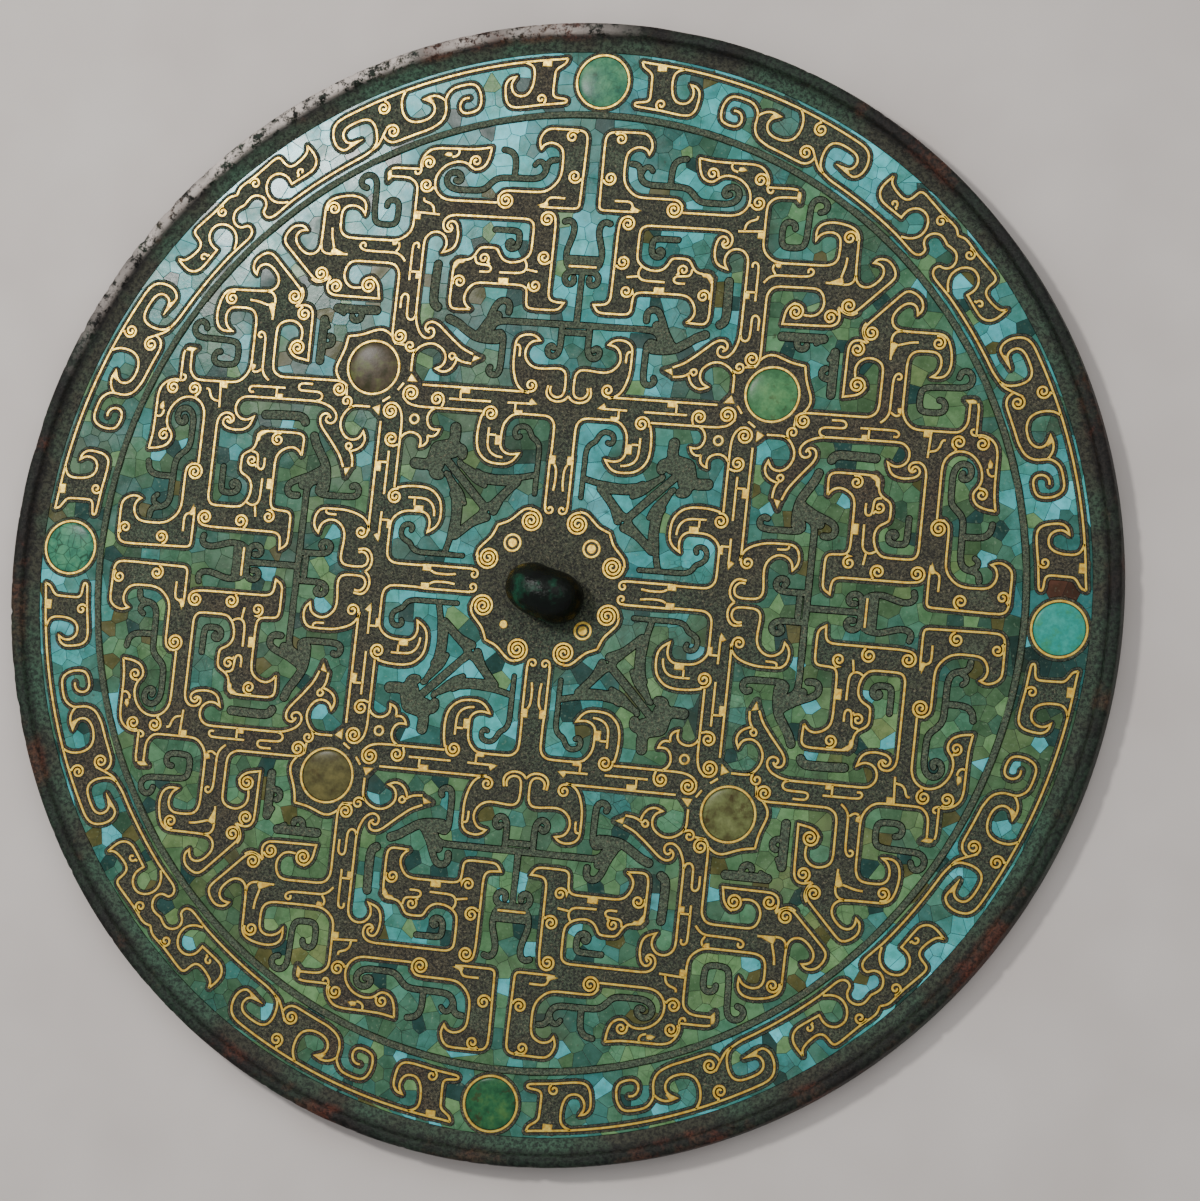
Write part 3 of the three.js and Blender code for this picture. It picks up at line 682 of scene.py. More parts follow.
def spun(name, profile, steps, material):
    """A bronze ring or disc from its half profile in millimetres, spun round the mirror's axis."""
    mesh = bpy.data.meshes.new(name)
    line = [(k, k + 1) for k in range(len(profile) - 1)]
    mesh.from_pydata([(r * MM, 0, z * MM) for r, z in profile], line, [])
    piece = added(name, mesh)
    alone(piece)
    bpy.ops.object.mode_set(mode="EDIT")
    bpy.ops.mesh.select_all(action="SELECT")
    bpy.ops.mesh.spin(steps=steps, angle=2 * math.pi, center=(0, 0, 0), axis=(0, 0, 1))
    bpy.ops.mesh.select_all(action="SELECT")
    bpy.ops.mesh.remove_doubles(threshold=1e-6)
    bpy.ops.mesh.normals_make_consistent(inside=False)
    bpy.ops.object.mode_set(mode="OBJECT")
    bpy.ops.object.shade_smooth_by_angle(angle=math.radians(40))
    return finish_piece(piece, material, "bronze")


# ---------- materials ----------

def srgb(r, g, b):
    """A colour given as 0 to 255, as the shader takes it."""
    parts = [((c / 255 + 0.055) / 1.055) ** 2.4 if c > 10 else c / 255 / 12.92 for c in (r, g, b)]
    return (*parts, 1.0)


class Finish:
    """A node material that is built from small steps."""

    def __init__(self, name):
        self.material = bpy.data.materials.new(name)
        self.material.use_nodes = True
        self.nodes = self.material.node_tree.nodes
        self.links = self.material.node_tree.links
        self.shader = self.nodes["Principled BSDF"]
        self.place = self.nodes.new("ShaderNodeTexCoord").outputs["Object"]

    def set(self, **values):
        for key, value in values.items():
            self.shader.inputs[key.replace("_", " ")].default_value = value
        return self

    def noise(self, scale, detail, rough):
        node = self.nodes.new("ShaderNodeTexNoise")
        node.inputs["Scale"].default_value = scale
        node.inputs["Detail"].default_value = detail
        node.inputs["Roughness"].default_value = rough
        self.links.new(self.place, node.inputs["Vector"])
        return node.outputs["Fac"]

    def patches(self, scale, detail, rough, low, high):
        """Patches where a noise is above high. They fade out down to low."""
        return self.ramp(self.noise(scale, detail, rough), (low, 0.0), (high, 1.0))

    def cracks(self, scale, width):
        """Fine lines between the cells of a cracked surface."""
        node = self.nodes.new("ShaderNodeTexVoronoi")
        node.feature = "DISTANCE_TO_EDGE"
        node.inputs["Scale"].default_value = scale
        self.links.new(self.place, node.inputs["Vector"])
        return self.ramp(node.outputs["Distance"], (0.0, 1.0), (width, 0.0))

    def ramp(self, value, *stops):
        """Turns a value into numbers or colours by stops of (value, result)."""
        node = self.nodes.new("ShaderNodeValToRGB")
        ramp = node.color_ramp
        while len(ramp.elements) < len(stops):
            ramp.elements.new(0.5)
        for element, (at, colour) in zip(ramp.elements, stops):
            element.position = at
            element.color = colour if hasattr(colour, "__len__") else (colour, colour, colour, 1)
        self.links.new(value, node.inputs["Fac"])
        return node.outputs["Color"]

    def mix(self, factor, a, b, blend="MIX"):
        node = self.nodes.new("ShaderNodeMix")
        node.data_type = "RGBA"
        node.blend_type = blend
        self.feed([s for s in node.inputs if s.enabled], (factor, a, b))
        return [s for s in node.outputs if s.enabled][0]

    def math(self, kind, a, b):
        node = self.nodes.new("ShaderNodeMath")
        node.operation = kind
        self.feed(node.inputs, (a, b))
        return node.outputs[0]

    def feed(self, sockets, values):
        """Gives each socket what it takes: a link from another node, or a plain number or colour."""
        for socket, value in zip(sockets, values):
            if hasattr(value, "is_linked"):
                self.links.new(value, socket)
            else:
                socket.default_value = value

    def tint(self, base, where, share, colour):
        """Lays a colour over the base in some places, as strong as the share says."""
        return self.mix(self.math("MULTIPLY", where, share), base, colour)

    def shade(self, base, factor):
        return self.mix(1.0, base, factor, "MULTIPLY")

    def reach(self):
        """How far a spot lies from the middle of the mirror, in metres."""
        node = self.nodes.new("ShaderNodeVectorMath")
        node.operation = "LENGTH"
        self.links.new(self.place, node.inputs[0])
        return node.outputs["Value"]

    def attribute(self, name, output="Color"):
        node = self.nodes.new("ShaderNodeAttribute")
        node.attribute_name = name
        return node.outputs[output]

    def bump(self, height, strength, distance):
        node = self.nodes.new("ShaderNodeBump")
        node.inputs["Strength"].default_value = strength
        node.inputs["Distance"].default_value = distance
        self.links.new(height, node.inputs["Height"])
        self.links.new(node.outputs["Normal"], self.shader.inputs["Normal"])

    def use(self, **sockets):
        for key, value in sockets.items():
            self.links.new(value, self.shader.inputs[key.replace("_", " ")])
        return self.material


def patinated_bronze():
    f = Finish("patinated_bronze").set(Metallic=0.15, Specular_IOR_Level=0.45)
    grain = f.noise(2300, 3, 0.7)
    round_knob = f.ramp(f.reach(), (0.03, 1.0), (0.055, 0.0))
    cool = f.math("MAXIMUM", f.patches(11, 2, 0.5, 0.38, 0.54), round_knob)
    base = f.mix(cool, srgb(58, 46, 30), srgb(49, 51, 35))
    base = f.tint(base, f.patches(30, 4, 0.6, 0.45, 0.66), 0.55, srgb(44, 68, 50))
    scroll = f.attribute("scroll", "Fac")
    base = f.tint(base, scroll, 0.75, srgb(62, 76, 58))
    # Raised grain is lit up 1.5 times and the grain's hollows are darkened in the colour: painted light and
    # painted shade of the grain, less dark on the scrolls.
    hollow_shade = f.mix(scroll, (0.2, 0.2, 0.2, 1), (0.5, 0.5, 0.5, 1))
    lit_raised_grain = f.ramp(grain, (0.43, 0.0), (0.57, 1.0))
    base = f.mix(lit_raised_grain, f.shade(base, hollow_shade), f.shade(base, (1.5, 1.5, 1.45, 1)))
    base = f.tint(base, f.patches(1700, 3, 0.7, 0.58, 0.66), 0.55, srgb(126, 118, 92))
    f.bump(grain, 1.0, 0.0003)
    return f.use(Base_Color=base, Roughness=f.ramp(grain, (0.4, 0.62), (0.6, 0.42)))


def inlaid_gold():
    f = Finish("inlaid_gold").set(Metallic=0.85)
    wear = f.noise(1100, 3, 0.6)
    base = f.mix(f.ramp(wear, (0.36, 0.0), (0.64, 1.0)), srgb(196, 152, 58), srgb(238, 208, 98))
    base = f.tint(base, f.patches(420, 4, 0.65, 0.6, 0.72), 0.5, srgb(100, 70, 26))
    f.bump(wear, 0.35, 0.0001)
    return f.use(Base_Color=base, Roughness=f.ramp(wear, (0.3, 0.45), (0.7, 0.32)))


def tile_stone():
    """Each tile's own colour with clouds, pale grains, dark veins, a dull film and brown spots."""
    f = Finish("tile_stone").set(Metallic=0.0, Specular_IOR_Level=0.2)
    own = f.attribute("tile_colour")
    fine = f.noise(1500, 3, 0.6)
    base = f.mix(f.patches(330, 5, 0.65, 0.38, 0.6), f.shade(own, (0.6, 0.68, 0.62, 1)), own)
    base = f.tint(base, f.ramp(fine, (0.6, 0.0), (0.75, 1.0)), 0.22, srgb(170, 190, 160))
    veins = f.math("MULTIPLY", f.cracks(420, 0.035), f.patches(60, 2, 0.5, 0.5, 0.62))
    base = f.tint(base, veins, 0.55, srgb(30, 36, 30))
    base = f.tint(base, f.patches(45, 4, 0.65, 0.56, 0.68), 0.5, srgb(66, 68, 54))
    base = f.tint(base, f.patches(260, 4, 0.6, 0.68, 0.74), 0.6, srgb(52, 40, 28))
    f.bump(fine, 0.08, 0.0001)
    return f.use(Base_Color=base, Roughness=f.ramp(f.noise(70, 5, 0.6), (0.48, 0.15), (0.66, 0.42)))


def dark_mastic():
    f = Finish("dark_mastic").set(Metallic=0.0)
    grain = f.noise(1800, 3, 0.6)
    f.bump(grain, 0.4, 0.0002)
    return f.use(Base_Color=f.ramp(grain, (0.3, srgb(10, 11, 9)), (0.7, srgb(26, 28, 22))),
                 Roughness=f.ramp(grain, (0.3, 0.7), (0.7, 0.9)))


def rim_bronze():
    """A green foot, a near black lip with rusty blotches, and a painted highlight of bright metal on the
    lip's upper left edge.
    """
    f = Finish("rim_bronze").set(Metallic=0.1, Specular_IOR_Level=0.25)
    grain = f.noise(1300, 4, 0.75)
    blotch = f.noise(60, 5, 0.65)
    green = f.patches(38, 4, 0.6, 0.42, 0.58)
    lip = f.ramp(blotch, (0.36, srgb(14, 13, 12)), (0.54, srgb(26, 21, 18)), (0.64, srgb(74, 38, 28)))
    lip = f.tint(lip, green, 0.55, srgb(34, 56, 42))
    foot = f.mix(green, srgb(48, 48, 38), srgb(46, 70, 55))
    base = f.mix(f.attribute("lip", "Fac"), foot, lip)
    # Raised grain is lit up and its hollows are darkened to 0.3 in the colour: painted light and painted
    # shade of the grain.
    lit_raised_grain = f.ramp(grain, (0.42, 0.0), (0.58, 1.0))
    base = f.mix(lit_raised_grain, f.shade(base, (0.3, 0.3, 0.3, 1)), f.shade(base, (1.45, 1.45, 1.4, 1)))
    # Bright metal laid on the lip's edge round the upper left, where the key light falls: a painted
    # highlight.
    base = f.tint(base, f.attribute("lip_highlight", "Fac"), f.patches(520, 6, 0.75, 0.43, 0.52),
                  srgb(204, 192, 184))
    f.bump(grain, 0.8, 0.0003)
    return f.use(Base_Color=base, Roughness=f.ramp(blotch, (0.3, 0.4), (0.7, 0.6)))


def knob_bronze():
    f = Finish("knob_bronze").set(Metallic=0.1, Specular_IOR_Level=0.17)
    cloud = f.noise(180, 4, 0.6)
    base = f.ramp(cloud, (0.38, srgb(6, 7, 6)), (0.54, srgb(12, 19, 14)), (0.66, srgb(18, 68, 48)))
    f.bump(f.noise(900, 4, 0.65), 0.7, 0.0003)
    return f.use(Base_Color=base, Roughness=f.ramp(cloud, (0.3, 0.17), (0.7, 0.3)))


def round_stone(name, light, middle, dark, cracks=0.0, stain=0.0):
    """A polished stone in three shades. Cracks and stain say how strongly its lines and brown spots show."""
    f = Finish(name).set(Metallic=0.0, Specular_IOR_Level=0.1)
    cloud = f.noise(260, 5, 0.65)
    base = f.ramp(cloud, (0.36, srgb(*dark)), (0.5, srgb(*middle)), (0.64, srgb(*light)))
    fine = f.noise(1400, 3, 0.6)
    base = f.mix(f.ramp(fine, (0.42, 0.35), (0.58, 0.0)), base, f.shade(base, (0.6, 0.6, 0.6, 1)))
    if cracks:
        base = f.tint(base, f.cracks(520, 0.05), cracks, srgb(30, 44, 32))
    if stain:
        base = f.tint(base, f.patches(420, 4, 0.65, 0.56, 0.64), stain, srgb(58, 38, 22))
    f.bump(fine, 0.06, 0.0002)
    return f.use(Base_Color=base, Roughness=f.ramp(cloud, (0.3, 0.22), (0.7, 0.32)))


bronze, gold_finish, stone_finish = patinated_bronze(), inlaid_gold(), tile_stone()
mastic, rim_finish, knob_finish = dark_mastic(), rim_bronze(), knob_bronze()

# ---------- the disc, its ridge and its rim ----------

spun("reflecting_disc", [(0, 0), (DISC_EDGE, 0), (DISC_EDGE, BEDDING), (0, BEDDING)], 180, mastic)
ridge_profile = [(RIDGE_OUTER + 0.02, 2.9), (RIDGE_OUTER, 3.62), (RIDGE_OUTER - 0.12, 3.85),
                 (RIDGE_INNER + 0.12, 3.85), (RIDGE_INNER, 3.62), (RIDGE_INNER - 0.02, 2.9),
                 (RIDGE_OUTER + 0.02, 2.9)]
ridge = spun("ridge_ring", ridge_profile, 360, bronze)
set_point_values(ridge, "scroll", [1.0] * len(ridge.data.vertices))
rim_profile = [(105.9, 0.0), (110.9, 0.0), (111.3, 0.25), (111.5, 0.8), (111.5, 2.8), (111.5, 4.6),
               (111.35, 5.1), (111.0, 5.35), (110.4, 5.42), (109.8, 5.38), (109.35, 5.2), (109.05, 4.7),
               (108.7, 4.45), (107.6, 4.05), (106.6, 3.78), (106.1, 3.66), (105.9, 3.6), (105.9, 0.0)]
rim = spun("worn_rim", rim_profile, 900, rim_finish)


def zero_to_one(value):
    return max(0.0, min(1.0, value))


# chips and dents along the rim's edge, and how much painted highlight each of its points gets
wear = []
for v in rim.data.vertices:
    p = v.co / MM
    r = math.hypot(p.x, p.y)
    high = zero_to_one((p.z - 4.2) / 1.0) * zero_to_one((r - 108.6) / 0.8)
    coarse = ripple.noise(p * 0.16)
    small = ripple.noise(p * 0.75 + Vector((9, 3, 1)))
    chip = max(0.0, small - 0.22) * 1.1 + max(0.0, coarse - 0.3) * 0.7
    outward = Vector((p.x / r, p.y / r, 0))
    v.co -= (outward * chip * 0.7 + Vector((0, 0, chip * 0.8))) * high * MM
    # the list wear holds each point's share of the lip's painted highlight
    away = abs((math.degrees(math.atan2(p.y, p.x)) - HIGHLIGHT_ANGLE + 180) % 360 - 180)
    wear.append(high * max(0.0, 1.0 - away / HIGHLIGHT_SPREAD) ** 0.6 * (0.95 + 0.8 * coarse))
set_point_values(rim, "lip_highlight", wear)
set_point_values(rim, "lip", [zero_to_one((math.hypot(*v.co.xy) / MM - LIP_START) / 0.6)
                              for v in rim.data.vertices])

# ---------- the inlaid face ----------

level = {name: whole(quarter) for name, quarter in depth.items()}
ground_loops = {name: outlines_of(full) for name, full in level.items()}
all_ground = np.maximum.reduce(list(level.values())) + STRAP_GAP
strap_loops = outlines_of(all_ground)
socket_places = sorted({(round(x, 3), round(y, 3)) for middle in ROUNDELS
                        for image in sectors([middle]) for x, y in image})
socket_loops = [np.array(circle(x, y, SOCKET_RADIUS, 40)) for x, y in socket_places]
edge_loop = [np.array(circle(0, 0, FACE_EDGE, 360))]

points, faces = triangles(strap_loops + socket_loops + edge_loop)
middles = points[faces].mean(1)
solid = (look_up(all_ground, middles) < 0) & (np.hypot(*middles.T) < FACE_EDGE)
for x, y in socket_places:
    solid &= np.hypot(middles[:, 0] - x, middles[:, 1] - y) > SOCKET_RADIUS
used, faces = np.unique(faces[solid], return_inverse=True)
inlaid_face = mesh_piece("inlaid_face", np.c_[points[used], np.full(len(used), FACE_TOP)],
                         faces.reshape(-1, 3), bronze, "bronze", "mirror_body")
set_point_values(inlaid_face, "scroll", look_up(whole(scroll), points[used]) < 0.2)
turn_outwards(inlaid_face)

# walls from the face's open edges down into the bedding
bpy.ops.object.mode_set(mode="EDIT")
bpy.ops.mesh.select_mode(type="EDGE")
bpy.ops.mesh.select_all(action="DESELECT")
bpy.ops.mesh.select_non_manifold()
down = (0, 0, (BEDDING - 0.05 - PLATE_TOP) * MM)
bpy.ops.mesh.extrude_region_move(TRANSFORM_OT_translate={"value": down})
bpy.ops.object.mode_set(mode="OBJECT")

# ---------- the tiles ----------

def tile_middles(full, spacing, tight):
    """Middles of the tiles: first along the middle of each strip, then beside it where there is room."""
    step, cell_size = 0.5, 6
    span = np.arange(-RIM_INNER, RIM_INNER, step)
    x, y = np.meshgrid(span, span)
    p = np.c_[x.ravel(), y.ravel()] + rng.uniform(-step / 2, step / 2, (x.size, 2))
    deep = look_up(full, p)
    p, deep = p[deep > 0.06], deep[deep > 0.06]
    order = np.argsort(-(np.minimum(deep, 1.2) + rng.uniform(0, 0.35, len(p))))
    taken, kept = {}, []
    for k in order:
        here = p[k]
        room = (spacing if deep[k] > 0.9 else tight) * rng.uniform(0.6, 1.3)
        i, j = int(here[0] // cell_size), int(here[1] // cell_size)
        close_by = [q for a in (-1, 0, 1) for b in (-1, 0, 1) for q in taken.get((i + a, j + b), ())]
        if all((q[0] - here[0]) ** 2 + (q[1] - here[1]) ** 2 > room * room for q in close_by):
            taken.setdefault((i, j), []).append(here)
            kept.append(here)
    return np.array(kept)


def joints_between(middles, full):
    """The straight joints halfway between neighbouring tile middles, where they cross the ground."""
    shortest, longest = 0.05, 40
    verts, tris = triangles([], middles)
    a, b, c = verts[tris[:, 0]], verts[tris[:, 1]], verts[tris[:, 2]]
    d = 2 * (a[:, 0] * (b[:, 1] - c[:, 1]) + b[:, 0] * (c[:, 1] - a[:, 1]) + c[:, 0] * (a[:, 1] - b[:, 1]))
    sa, sb, sc = (a ** 2).sum(1), (b ** 2).sum(1), (c ** 2).sum(1)
    centre = np.c_[(sa * (b[:, 1] - c[:, 1]) + sb * (c[:, 1] - a[:, 1]) + sc * (a[:, 1] - b[:, 1])) / d,
                   (sa * (c[:, 0] - b[:, 0]) + sb * (a[:, 0] - c[:, 0]) + sc * (b[:, 0] - a[:, 0])) / d]
    by_edge = {}
    for t, tri in enumerate(tris):
        for k in range(3):
            by_edge.setdefault(tuple(sorted((int(tri[k]), int(tri[(k + 1) % 3])))), []).append(t)
    ends, edges = [], []
    for pair in by_edge.values():
        if len(pair) != 2:
            continue
        p, q = centre[pair[0]], centre[pair[1]]
        length = math.hypot(*(q - p))
        if length < shortest or length > longest:
            continue
        n = max(2, int(length / 0.25) + 1)
        t = np.linspace(0, 1, n)[:, None]
        inside = look_up(full, p + (q - p) * t) > -0.15
        # keep each stretch of the joint that lies over the ground
        k = 0
        while k < n:
            if not inside[k]:
                k += 1
                continue
            m = k
            while m + 1 < n and inside[m + 1]:
                m += 1
            if m > k:
                edges.append((len(ends), len(ends) + 1))
                ends += [p + (q - p) * t[k, 0], p + (q - p) * t[m, 0]]
            k = m + 1
    return ends, edges


def nearest(points, middles):
    """The number of the middle nearest to each point, worked out in batches to save memory."""
    found, batch = np.zeros(len(points), int), 2000
    for k in range(0, len(points), batch):
        d = ((points[k:k + batch, None, :] - middles[None]) ** 2).sum(2)
        found[k:k + batch] = d.argmin(1)
    return found


# Broad colour areas of the stones: place, how blue (0 green to 1 sky), how light (-1 to 1)
COLOUR_AREAS = [
    (20, 99, 0.8, 0.2), (55, 86, 0.95, 0.4), (82, 58, 0.85, 0.1), (97, 22, 0.75, 0.3),
    (98, -10, 0.5, -0.9), (97, -24, 0.3, -0.4), (90, -45, 0.8, 0.2), (75, -66, 0.95, 0.5),
    (52, -86, 0.75, 0.1), (20, -99, 0.6, 0.1), (-25, -97, 0.62, -0.1), (-58, -82, 0.5, -0.4),
    (-86, -52, 0.66, -0.3), (-99, -15, 0.85, 0.3), (-98, 12, 0.5, -0.4), (-86, 52, 0.75, 0.1),
    # The band's areas at (-60, 80) and (-25, 97) are made the lightest: partly the stones' pale tone, partly
    # painted sheen where the key light falls.
    (-60, 80, 0.9, 0.7), (-25, 97, 0.88, 0.6), (0, 84, 0.7, -0.1), (-30, 80, 0.8, 0.3),
    (28, 80, 0.62, 0.0), (-44, 74, 0.8, 0.4), (0, 68, 0.85, 0.4), (-18, 68, 0.85, 0.4),
    (18, 68, 0.75, 0.2), (0, 46, 0.75, 0.0), (-24, 42, 0.6, -0.4), (24, 42, 0.5, -0.1),
    (-60, 60, 0.72, 0.2), (-74, 44, 0.62, 0.0), (-48, 52, 0.7, 0.1), (60, 62, 0.45, 0.0),
    (46, 74, 0.5, 0.2), (70, 44, 0.3, 0.0), (50, 52, 0.55, 0.2), (66, 24, 0.35, 0.1),
    (84, 14, 0.45, -0.1), (50, 8, 0.42, -0.2), (66, -20, 0.25, 0.2), (84, -22, 0.4, -0.1),
    (48, -12, 0.4, -0.2), (56, -52, 0.3, 0.5), (74, -44, 0.35, 0.3), (44, -74, 0.35, 0.5),
    (62, -62, 0.3, 0.4), (28, -80, 0.35, 0.1), (0, -86, 0.48, 0.3), (-21, -68, 0.7, 0.5),
    (20, -66, 0.45, 0.1), (0, -60, 0.4, 0.1), (0, -44, 0.48, 0.2), (-24, -46, 0.52, 0.2),
    (26, -44, 0.45, 0.3), (-44, -74, 0.28, 0.3), (-62, -62, 0.2, 0.0), (-56, -50, 0.35, 0.2),
    (-76, -42, 0.4, 0.2), (-30, -82, 0.35, 0.3), (-84, -20, 0.42, -0.1), (-62, -26, 0.4, 0.0),
    (-48, -10, 0.45, -0.1), (-84, 16, 0.5, -0.3), (-64, 24, 0.5, -0.3), (-48, 14, 0.45, -0.3),
    (-78, 30, 0.55, -0.3), (-24, 24, 0.35, -0.6), (-12, 30, 0.5, -0.4), (-30, 12, 0.75, 0.4),
    (24, 24, 0.6, -0.2), (10, 24, 0.85, 0.3), (16, 36, 0.9, 0.4), (30, 12, 0.8, 0.3),
    (-10, -22, 0.85, 0.4), (-24, -24, 0.7, 0.2), (-28, -10, 0.8, 0.2), (12, -22, 0.85, 0.3),
    (26, -20, 0.6, 0.3), (18, -34, 0.6, 0.2), (19, -22, 0.0, -0.5), (100, -7.5, 0.7, -1.6),
    (99, 9, 0.72, -0.9), (-70, 70, 0.9, 0.3), (-52, 60, 0.8, -0.5),
]
# A few tiles are brown: their place and reach
BROWN_PLACES = [(100, 6.8, 1.8), (-22, 29, 2.2), (-27, 27, 1.6), (11, 36, 1.5)]
BROWN = (104, 66, 50)
# The stones from olive over malachite green to sky blue
STONE_SCALE = [(98, 92, 50), (104, 130, 84), (82, 118, 82), (62, 110, 98), (70, 154, 154), (90, 182, 192)]
# Odd tiles among the rest: share of the tiles up to here, how blue, how light
ODD_STONES = [(0.05, 0.66, -1.4), (0.09, 0.97, 0.2), (0.12, 0.02, -0.3), (0.15, 0.3, 0.7)]


def stone_colour(x, y):
    """The stone chosen for a tile: the blueness and lightness of its area, and its own luck."""
    d = np.array([(ax - x) ** 2 + (ay - y) ** 2 + 9 for ax, ay, _, _ in COLOUR_AREAS])
    w = 1 / d ** 2
    blue = float(sum(w * [a[2] for a in COLOUR_AREAS]) / w.sum()) + rng.normal(0, 0.06)
    light = float(sum(w * [a[3] for a in COLOUR_AREAS]) / w.sum()) + rng.normal(0, 0.16)
    here = Vector((x, y, 0))
    blue += 0.3 * ripple.noise(here * 0.14)
    light += 1.1 * ripple.noise(here * 0.13 + Vector((40, 3, 9)))
    luck = rng.uniform()
    if any(math.hypot(x - bx, y - by) < reach for bx, by, reach in BROWN_PLACES):
        return srgb(*(np.array(BROWN) * (0.9 + 0.2 * light)))
    for share, odd_blue, odd_light in ODD_STONES:
        if luck < share:
            blue, light = odd_blue, odd_light
            break
    step = np.clip(blue, 0, 0.999) * (len(STONE_SCALE) - 1)
    k = int(step)
    c = np.array(STONE_SCALE[k]) * (1 - step + k) + np.array(STONE_SCALE[k + 1]) * (step - k)
    return srgb(*np.clip(c * (0.98 + 0.3 * np.clip(light, -1.8, 0.8)), 6, 235))


def softened(place, z, tris, tile_of):
    """Gives each flat tile a mastic joint round it and a rounded edge, narrower on a slim tile.

    Returns the points, the faces of tops, joints and edges, and the tile of each edge face.
    """
    a, b, c = place[tris[:, 0]], place[tris[:, 1]], place[tris[:, 2]]
    turn = (b[:, 0] - a[:, 0]) * (c[:, 1] - a[:, 1]) - (b[:, 1] - a[:, 1]) * (c[:, 0] - a[:, 0])
    tris[turn < 0] = tris[turn < 0][:, ::-1]
    sides = np.vstack([tris[:, [0, 1]], tris[:, [1, 2]], tris[:, [2, 0]]])
    key, back = sides[:, 0] * len(place) + sides[:, 1], sides[:, 1] * len(place) + sides[:, 0]
    border = sides[~np.isin(key, back)]
    run = place[border[:, 1]] - place[border[:, 0]]
    length = np.maximum(np.hypot(*run.T), 1e-6)
    inward = np.c_[-run[:, 1], run[:, 0]] / length[:, None]
    push = np.zeros_like(place)
    np.add.at(push, border[:, 0], inward)
    np.add.at(push, border[:, 1], inward)
    size = np.hypot(*push.T)
    push /= np.maximum(size, 1e-6)[:, None]
    push *= np.clip(2 / np.maximum(size, 1e-6), 1, 1.5)[:, None] * (size > 0.05)[:, None]
    area, round_about = np.zeros(tile_of.max() + 1), np.zeros(tile_of.max() + 1)
    np.add.at(area, tile_of[tris[:, 0]], np.abs(turn) / 2)
    np.add.at(round_about, tile_of[border[:, 0]], length)
    thick = np.clip(2 * area / np.maximum(round_about, 1e-6) / 0.5, 0.15, 1)[tile_of]
    reach = push * thick[:, None]
    base = np.c_[place, z - JOINT_DEPTH]
    joint = np.c_[place + reach * JOINT, z - EDGE_DEPTH]
    top = np.c_[place + reach * (JOINT + TILE_EDGE), z]
    n = len(place)
    p, q = border[:, 0], border[:, 1]
    joints = np.c_[p, q, q + n, p + n]
    edges = np.c_[p + n, q + n, q + 2 * n, p + 2 * n]
    return np.vstack([base, joint, top]), tris + 2 * n, joints, edges, tile_of[p]


def lay_tiles(name, zone, slot, spacing, tight, *starts):
    """The mosaic of one ground. It stands for the CAD nodes whose names start with the given words."""
    full = level[zone]
    middles = tile_middles(full, spacing, tight)
    ends, edges = joints_between(middles, full)
    verts, tris = triangles(ground_loops[zone], ends, edges)
    centre = verts[tris].mean(1)
    tris, centre = tris[look_up(full, centre) > 0], centre[look_up(full, centre) > 0]
    owner = nearest(centre, middles)
    key = tris + owner[:, None] * len(verts)
    unique, own = np.unique(key, return_inverse=True)
    own = own.reshape(-1, 3)
    place = verts[unique % len(verts)]
    tile_of = unique // len(verts)
    lift = rng.uniform(-0.03, 0.02, len(middles))
    lean = rng.uniform(-0.007, 0.007, (len(middles), 2))
    off = place - middles[tile_of]
    z = TILE_TOP + lift[tile_of] + (off * lean[tile_of]).sum(1)
    points, tops, joints, edges, tile_of_edge = softened(place, z, own, tile_of)
    faces = [*tops.tolist(), *joints.tolist(), *edges.tolist()]
    nodes = [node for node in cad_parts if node.startswith(starts)]
    piece = mesh_piece(name, points, faces, stone_finish, slot, *nodes)
    piece.data.materials.append(mastic)
    count = (len(tops), len(joints), len(edges))
    piece.data.polygons.foreach_set("material_index", np.repeat([0, 1, 0], count).astype(np.int32))
    owners = np.concatenate([tile_of[own[:, 0]], tile_of_edge, tile_of_edge])
    colours = np.array([stone_colour(x, y) for x, y in middles], np.float32)
    paint = piece.data.attributes.new("tile_colour", "FLOAT_COLOR", "FACE")
    paint.data.foreach_set("color", colours[owners].ravel())


lay_tiles("band_tiles", "band", "band_mosaic", 4.0, 2.9, "band_", "trefoil_")
lay_tiles("field_tiles", "field", "field_mosaic", 4.4, 3.0, "corner_", "side_")
lay_tiles("square_tiles", "square", "field_mosaic", 5.2, 3.6, "square_")

# ---------- the gold ----------

def strips(lines, across, closed=False):
    """Ribbons laid along lines, with a cross section of points that are (offset, height)."""
    verts, faces, start = [], [], 0
    for line in lines:
        p = np.asarray(line, float)
        step = np.roll(p, -1, 0) - p
        step /= np.maximum(np.hypot(*step.T), 1e-9)[:, None]
        ahead, behind = step.copy(), np.roll(step, 1, 0)
        if not closed:
            ahead[-1], behind[0] = behind[-1], ahead[0]
        side_a, side_b = np.c_[-ahead[:, 1], ahead[:, 0]], np.c_[-behind[:, 1], behind[:, 0]]
        side = side_a + side_b
        side /= np.maximum(np.hypot(*side.T), 1e-6)[:, None]
        reach = 1 / np.maximum((side * side_a).sum(1), 0.42)
        n = len(p)
        for u, z in across:
            verts.append(np.c_[p + side * (reach * u)[:, None], np.full(n, z)])
        last = n if closed else n - 1
        for k in range(last):
            m = (k + 1) % n
            for j in range(len(across) - 1):
                row, above = start + j * n, start + (j + 1) * n
                faces.append((row + k, row + m, above + m, above + k))
        if not closed and len(across) > 2:
            faces.append(tuple(start + j * n for j in range(4)))
            faces.append(tuple(start + j * n + n - 1 for j in (3, 2, 1, 0)))
        start += len(across) * n
    return np.vstack(verts), faces


